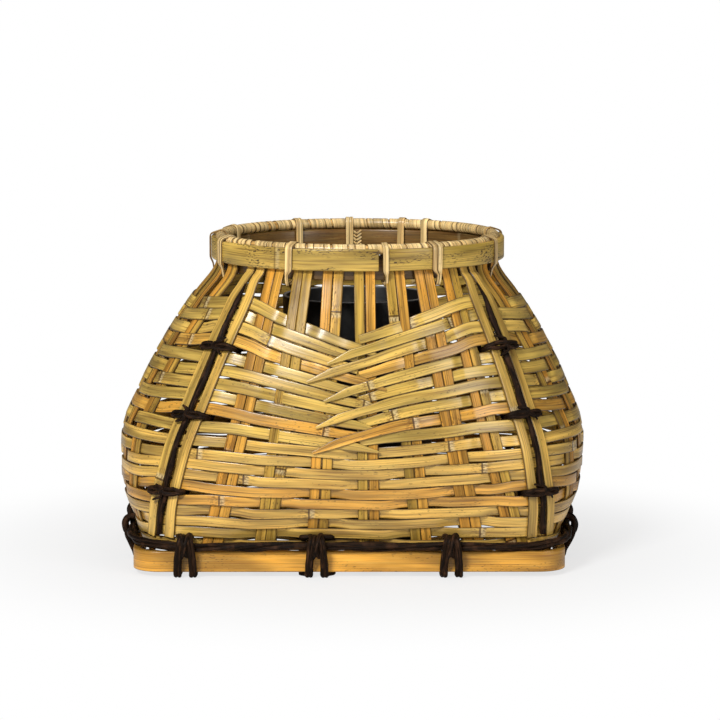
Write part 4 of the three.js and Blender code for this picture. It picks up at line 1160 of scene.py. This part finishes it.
def tie_route(slot):
    """The paths of one foot tie: two cords round the vine, the frame and the lowest row, and three turns."""
    z0 = FOOT_VINE.z
    wall_side = wall_normal(slot, z0, True)
    on_side = abs(wall_side.x) > abs(wall_side.y)
    axis = 0 if on_side else 1
    normal = Vector((0, 0, 0))
    normal[axis] = math.copysign(1, wall_side[axis])
    across = UP.cross(normal)
    base = wall_point(slot, z0)
    strand = TIE.strand
    reach = FOOT_VINE.radius + 0.1 + TIE.radius
    vine_out = vine_offset(slot)
    lean = MOUTH_LEAN * (FRAME.low - LEAN_PIVOT)
    frame_out = FRAME.half_width - abs(base.x - lean) if on_side else FRAME.half_depth - abs(base.y)
    beside_frame = frame_out + TIE.radius + 0.1
    inside = -(WEFT.under + WEFT.thickness / 2 + CLEARANCE + strand + 0.2)
    gap_z = z0 + FOOT_VINE.radius + 1.35
    on_stake = float(slot).is_integer()
    through = STAKE.pair / 2 + CLEARANCE + strand + 0.6 if on_stake else TIE.top
    wide = TIE.foot
    widest = max(through, wide)

    def loop(sign):
        top, foot, wall, under = sign * TIE.top, sign * wide, sign * through, sign * widest
        return [
            (wall, inside + 2.4, gap_z),
            (mix(wall, top, 0.1), vine_out - 2.2, gap_z + 0.35),
            (top, vine_out + 0.6, z0 + reach + 0.35),
            (mix(top, foot, 0.3), vine_out + reach * 0.98, z0 + reach * 0.5),
            (mix(top, foot, 0.7), vine_out + reach * 0.85, z0 - reach * 0.75),
            (foot, beside_frame + 0.5, FRAME.low + 1.4),
            (foot, beside_frame - 0.6, strand),
            (mix(foot, under, 0.3), beside_frame - 4.6, strand),
            (under, inside + 1.4, strand),
            (under, inside - 0.8, strand + 2.6),
        ]

    def over_vine(start, end, size):
        """A turn over the outside of the vine, slanting from one leg to the other."""
        turn = []
        for share in spaced(0, 1, 8):
            angle = math.radians(mix(118, -112, share))
            out = vine_out + size * math.cos(angle)
            turn.append((mix(start, end, share), out, z0 + size * math.sin(angle)))
        return turn

    def route(places, shift=0.0):
        spots = [(Vector((base.x, base.y, z)), along + shift, out) for along, out, z in places]
        return [spot + across * along + normal * out for spot, along, out in spots]

    climb = [(-through, inside - 0.8, z0 - 4.5), (through, inside - 0.5, z0 + 2.2)]
    winding = loop(-1) + climb + loop(1) + [(widest, inside - 0.4, z0 - 6)]
    return (
        route(winding, -TIE.apart),
        route(winding, TIE.apart),
        route(over_vine(-wide, wide * 0.6, reach + 0.5)),
        route(over_vine(wide * 0.7, -wide * 0.8, reach + 1.1)),
        route(over_vine(-0.6, 0.5, reach - 0.2)),
    )


def tie_foot():
    """The ties on which the basket stands, pressed flat where they touch the ground."""
    for side, slots in TIE_SLOTS.items():
        for k, slot in enumerate(slots):
            weaver = Weaver()
            for path in tie_route(slot):
                lay_vine(weaver, resample(path, TIE.step), lambda t: TIE.strand, rough=TIE.rough)
            weaver.points = [Vector((p.x, p.y, max(p.z, 0.0))) for p in weaver.points]
            name = f"foot_tie_{side}_{k + 1}"
            weaver.piece(f"{name}_cord", bark_finish, name, angle=60)


weave_lower_rows()
weave_upper_rows()
stand_stakes()
for corner, corner_name in CORNERS.items():
    set_corner_slats(corner, corner_name)
    tie_corner(corner, corner_name)
lay_foot_vines()
tie_foot()


# Bent foot band, rim and pot


def pick(obj, kind, test):
    """Selects the edges or faces that pass a test, for the next operator."""
    select_only(obj)
    bpy.ops.object.mode_set(mode="EDIT")
    bpy.ops.mesh.select_all(action="DESELECT")
    bpy.ops.object.mode_set(mode="OBJECT")
    bpy.context.tool_settings.mesh_select_mode = (False, kind == "EDGE", kind == "FACE")
    for part in obj.data.edges if kind == "EDGE" else obj.data.polygons:
        part.select = test(part)
    bpy.ops.object.mode_set(mode="EDIT")


def use_modifier(obj, kind, **values):
    modifier = obj.modifiers.new(kind.lower(), kind)
    for key, value in values.items():
        setattr(modifier, key, value)
    select_only(obj)
    bpy.ops.object.modifier_apply(modifier=modifier.name)


def round_edges(obj, width):
    angle = math.radians(50)
    use_modifier(obj, "BEVEL", width=width * MM, segments=3, limit_method="ANGLE", angle_limit=angle)


def hand_over(obj, name, material, node, body="basket"):
    """Applies the object's place, names it and lets it stand for its node."""
    select_only(obj)
    bpy.ops.object.transform_apply(location=True, rotation=True, scale=True)
    obj.name = name
    obj.data.name = name
    obj.data.materials.clear()
    obj.data.materials.append(material)
    stand_for(obj, node, 35, body)


def bend_frame():
    """A bent band: an upright box with rounded corners, opened above and below and given its thickness."""
    low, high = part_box("foot_frame")
    place = ((low[0] + high[0]) / 2, (low[1] + high[1]) / 2, (FRAME.low + FRAME.high) / 2 * MM)
    bpy.ops.object.select_all(action="DESELECT")
    bpy.ops.mesh.primitive_cube_add(size=1, location=place)
    obj = bpy.context.active_object
    obj.scale = [size * MM for size in (2 * FRAME.half_width, 2 * FRAME.half_depth, FRAME.high - FRAME.low)]
    bpy.ops.object.transform_apply(location=True, scale=True)

    def is_upright(edge):
        a, b = (obj.data.vertices[k].co for k in edge.vertices)
        return abs((a - b).z) > 0.005

    pick(obj, "FACE", lambda face: abs(face.normal.z) > 0.9)
    bpy.ops.mesh.delete(type="FACE")
    pick(obj, "EDGE", is_upright)
    bpy.ops.mesh.bevel(offset=FRAME.corner * MM, segments=14, affect="EDGES")
    bpy.ops.mesh.select_all(action="SELECT")
    bpy.ops.mesh.normals_make_consistent(inside=False)
    use_modifier(obj, "SOLIDIFY", thickness=FRAME.thickness * MM, offset=-1)
    round_edges(obj, 0.6)
    hand_over(obj, "foot_frame_band", frame_finish, "foot_frame")


def rim_point(slot, offset, z):
    point = off_wall(slot, BRIM, offset, True)
    return Vector((point.x, point.y, z))


def rim_reach(angle):
    """How far the mouth's plan stands out of a circle of its own radius."""
    square = SQUARES[-1]
    return (abs(math.sin(angle)) ** square + abs(math.cos(angle)) ** square) ** (-1 / square)


def bend_hoop(node, material, size, radius, thickness, offset, joint=None):
    """A band of bamboo bent to a hoop, with an open joint between its ends where one is given."""
    low, high = size.low, size.high
    bpy.ops.object.select_all(action="DESELECT")
    bpy.ops.mesh.primitive_cylinder_add(
        vertices=224, radius=1, depth=(high - low) * MM, end_fill_type="NOTHING", location=(0, 0, 0)
    )
    obj = bpy.context.active_object
    for vertex in obj.data.vertices:
        angle = math.atan2(vertex.co.x, -vertex.co.y)
        reach = (RIM_RADIUS * rim_reach(angle) + radius - RIM_RADIUS) * MM
        vertex.co.x *= reach
        vertex.co.y *= reach
    if joint is not None:
        half = HOOP.joint_half
        pick(obj, "FACE", lambda face: abs(math.atan2(face.center.x, -face.center.y) - joint) < half)
        bpy.ops.mesh.delete(type="FACE")
    use_modifier(obj, "SOLIDIFY", thickness=thickness * MM, offset=offset)
    round_edges(obj, 0.9)
    obj.location = (Vector((MOUTH_LEAN * (BRIM - LEAN_PIVOT), 0, (low + high) / 2)) + SHIFT) * MM
    hand_over(obj, f"{node}_band", material, node)


def wind_rim_core():
    """A core along the top of the mouth, closely wound with one long length of fine cane."""
    turns = CORE.turns
    cane = CORE.cane
    length = FULL_TURN * RIM_RADIUS
    weaver = Weaver()

    def section(slot):
        middle = rim_point(slot, -CORE.inward, CORE.z)
        return middle, (rim_point(slot, 1, CORE.z) - middle).normalized()

    rings = []
    sides = 10
    steps = 160
    size = CORE.radius - cane
    turned = [FULL_TURN * s / sides for s in range(sides)]
    for k in range(steps):
        middle, normal = section(SLOTS * k / steps)
        rings.append([middle + normal * (math.cos(t) * size) + UP * (math.sin(t) * size) for t in turned])
    along = [length * MM * k / steps for k in range(steps)]
    weaver.loft(rings, along, spaced(0, 1, sides), (0.8, 0.6, 0.4), closed=True)

    points = []
    normals = []
    per_turn = 14
    for k in range(turns * per_turn + 1):
        turn = k / per_turn
        slack = wave(turn, (0.22, 1.7, 0), (0.15, 0.53, 0))
        middle, normal = section(SLOTS * (turn + slack) / turns)
        angle = -FULL_TURN * turn
        out = normal * math.cos(angle) + UP * math.sin(angle)
        points.append(middle + out * (CORE.radius - cane / 2))
        normals.append(out)
    width = length / turns * 0.97
    lay_strip(weaver, points, normals, [width] * len(points), cane, (0.15, 0.1, 0.4))
    weaver.piece("rim_core_winding", cane_finish, "rim_binding")


CANE_PROFILE = (
    (-0.46, -0.5), (0.46, -0.5), (0.5, 0.0), (0.44, 0.38), (0.2, 0.5),
    (-0.2, 0.5), (-0.44, 0.38), (-0.5, 0.0),
)


def tie_rim():
    """Cane straps round both hoops and the core, drawn to a point between two stakes."""
    thick = RIM_TIE.thickness
    outer = HOOP_FACE + HOOP.outer + 0.25 + thick / 2
    inner = HOOP_FACE + HOOP.inner + 0.9 + thick / 2
    core = CORE.z + CORE.radius + thick / 2
    pointed = RIM_TIE.pointed
    stops = (
        (-CORE.inward, core, 1.0),
        (0.9, core - 0.8, 1.0),
        (outer - 0.5, HOOP.high + 0.6, 1.0),
        (outer, HOOP.high - 1.2, 1.0),
        (outer, (HOOP.high + HOOP.low) / 2, 1.0),
        (outer, HOOP.low + 0.4, 1.0),
        (outer * 0.5, HOOP.low - 3.6, pointed),
        (-inner * 0.4, INNER_HOOP.low - 3.4, pointed),
        (-inner, INNER_HOOP.low + 0.4, 1.0),
        (-inner, INNER_HOOP.high - 4, 1.0),
        (-inner, INNER_HOOP.high + 1, 1.0),
        (-inner + 0.3, CORE.z + 1.2, 1.0),
        (-inner * 0.7, core - 0.5, 1.0),
    )
    weaver = Weaver()
    for number, slot in enumerate(RIM_TIE_SLOTS):
        width = RIM_TIE.widths.get(number, RIM_TIE.width)
        sideways = (rim_point(slot + 0.1, 0, 100) - rim_point(slot - 0.1, 0, 100)).normalized()
        for shift, part in RIM_TIE.bands[RIM_TIE.strands.get(number, 1)]:
            tone = (dice.uniform(0, 0.5), dice.uniform(0, 0.4), dice.random())
            lean = dice.uniform(-RIM_TIE.lean, RIM_TIE.lean)
            loop = []
            for out, z, narrow in stops:
                move = shift * width * narrow + lean * (z - HOOP.low) / RIM_TIE.lean_over
                place = slot + move / slot_length(slot, BRIM)
                loop.append(off_wall(place, z, out, True) if narrow < 1 else rim_point(place, out, z))
            loop.append(loop[0])
            lengths = lengths_of(loop)
            point_at = curve_through(lengths, loop)
            narrow_at = Smooth(lengths, [narrow for _, _, narrow in (*stops, stops[0])])
            samples = spaced(0, lengths[-1], 64)[:-1]
            points = [point_at(place) for place in samples]
            rings = []
            for place, point, tangent in zip(samples, points, tangents_of(points, True)):
                out = sideways.cross(tangent).normalized()
                wide = width * part * narrow_at(place)
                rings.append([point + sideways * (w * wide) - out * (f * thick) for w, f in CANE_PROFILE])
            along = [place * MM for place in samples]
            weaver.loft(rings, along, [w + 0.5 for w, _ in CANE_PROFILE], tone, closed=True)
    weaver.piece("rim_cane_ties", cane_finish, "rim_binding")


def stitch_inner_hoop():
    """The lashing on the inside of the back, where the inner hoop's ends lap."""
    inside = HOOP_FACE + HOOP.inner + 0.25
    length = slot_length(HALF_TURN, BRIM)
    middle = HALF_TURN + 4 / length
    weaver = Weaver()
    for z in spaced(INNER_HOOP.high - 1.5, INNER_HOOP.low + 2.2, 5):
        inward = (rim_point(middle, -2, z) - rim_point(middle, 0, z)).normalized()
        places = ((0.2, z - 1.0, 0.0), (1.5, z, 0.35), (2.9, z + 1.0, 0.0))
        for side in (-1, 1):
            points = []
            for along, up, out in places:
                points.append(rim_point(middle + side * along / length, -inside - out, up))
            tone = (dice.uniform(0, 0.4), dice.uniform(0, 0.3), dice.random())
            lay_strip(weaver, points, [inward] * 3, [1.0, 1.3, 1.0], 0.6, tone)
    weaver.piece("rim_inner_lashing", cane_finish, "rim_binding")


def turn_pot():
    """A plain water pot: a slightly flared can, hollowed from its top, with a rolled lip."""
    depth = POT.high - POT.low
    foot, top, wall = POT.foot, POT.top, POT.wall
    place = (Vector((POT.x, 0, (POT.low + POT.high) / 2)) + SHIFT) * MM
    bpy.ops.object.select_all(action="DESELECT")
    bpy.ops.mesh.primitive_cone_add(
        vertices=96, radius1=foot * MM, radius2=top * MM, depth=depth * MM, end_fill_type="NGON",
        location=place,
    )
    obj = bpy.context.active_object
    bpy.ops.object.transform_apply(location=True)
    pick(obj, "FACE", lambda face: face.normal.z > 0.9)
    bpy.ops.mesh.inset(thickness=wall * MM)
    bpy.ops.mesh.extrude_region_move(TRANSFORM_OT_translate={"value": (0, 0, -(depth - POT.floor) * MM)})
    shrink = (foot - wall) / (top - wall)
    bpy.ops.transform.resize(value=(shrink, shrink, 1), center_override=place[:])
    round_edges(obj, 0.7)
    hand_over(obj, "liner_pot_wall", pot_finish, "liner", body="liner_pot")


bend_frame()
bend_hoop("rim_outer_hoop", hoop_finish, HOOP, RIM_RADIUS + HOOP_FACE, HOOP.outer, 1, HOOP.joint)
bend_hoop("rim_inner_hoop", inner_finish, INNER_HOOP, RIM_RADIUS - HOOP_FACE, HOOP.inner, -1)
wind_rim_core()
tie_rim()
stitch_inner_hoop()
turn_pot()


# Stage, light and camera

WHITE = (1.0, 1.0, 1.0)
PALE_GREY = (0.78, 0.78, 0.78, 1.0)
LAMP_AIM = (0, 0, 0.1)
CAMERA = Sizes(aim=0.092, elevation=8.1, distance=2.041, lens=175, sensor=36, right=7.5, up=32.6)
PICTURE_PIXELS = 720


def set_stage():
    """A white floor and surroundings, which the camera sees brighter than they light the basket."""
    bpy.ops.object.select_all(action="DESELECT")
    bpy.ops.mesh.primitive_plane_add(size=12, location=(0, 0, 0))
    floor = bpy.context.active_object
    floor.name = "studio_floor"
    material, s, shader = new_material("studio_white", 0.9, Base_Color=PALE_GREY, Specular_IOR_Level=0.1)
    x, y, _ = s.object_axes()
    spread = s.calc("POWER", s.plus(s.calc("POWER", x, 2.0), s.calc("POWER", y, 2.0)), 0.5)
    far = s.scaled(s.ramp(spread, 0.12, 0.3), 0.28, 0.72)
    s.seen_by_camera("Material Output", shader, s.node("Emission", Color=WHITE, Strength=1.0), far)
    floor.data.materials.append(material)

    world = bpy.data.worlds.new("studio")
    bpy.context.scene.world = world
    world.use_nodes = True
    s = Shading(world.node_tree)
    soft = world.node_tree.nodes["Background"]
    s.feed(soft.inputs["Color"], WHITE)
    s.feed(soft.inputs["Strength"], 0.06)
    s.seen_by_camera("World Output", soft, s.node("Background", Color=WHITE, Strength=1.0))


def set_up(name, data, place, aim):
    """Puts a lamp or the camera at its place and turns it to its aim."""
    obj = bpy.data.objects.new(name, data)
    obj.location = place
    obj.rotation_euler = (Vector(aim) - Vector(place)).to_track_quat("-Z", "Y").to_euler()
    bpy.context.scene.collection.objects.link(obj)
    return obj


def hang_lamp(name, place, size, power):
    lamp = bpy.data.lights.new(name, "AREA")
    lamp.shape = "RECTANGLE"
    lamp.size, lamp.size_y = size
    lamp.energy = power
    set_up(name, lamp, place, LAMP_AIM)


def set_camera():
    """A long lens, a little above the mouth, with the basket low in the frame as photographed."""
    aim = Vector((0, 0, CAMERA.aim)) + SHIFT * MM
    elevation = math.radians(CAMERA.elevation)
    distance = CAMERA.distance
    place = aim + Vector((0, -math.cos(elevation), math.sin(elevation))) * distance
    per_pixel = distance / (PICTURE_PIXELS * CAMERA.lens / CAMERA.sensor)
    up = Vector((0, math.sin(elevation), math.cos(elevation)))
    aim = aim + Vector((1, 0, 0)) * (CAMERA.right * per_pixel) + up * (CAMERA.up * per_pixel)
    camera = bpy.data.cameras.new("camera")
    camera.lens = CAMERA.lens
    camera.sensor_width = CAMERA.sensor
    camera.clip_end = 50
    bpy.context.scene.camera = set_up("camera", camera, place, aim)


set_stage()
hang_lamp("key", (-0.75, -1.5, 1.25), (0.55, 0.42), 33.5)
hang_lamp("fill", (1.3, -1.2, 0.7), (0.8, 0.8), 8)
hang_lamp("top", (0.1, 0.2, 1.6), (1.0, 1.0), 5.5)
set_camera()
bpy.context.scene.view_settings.view_transform = "Standard"
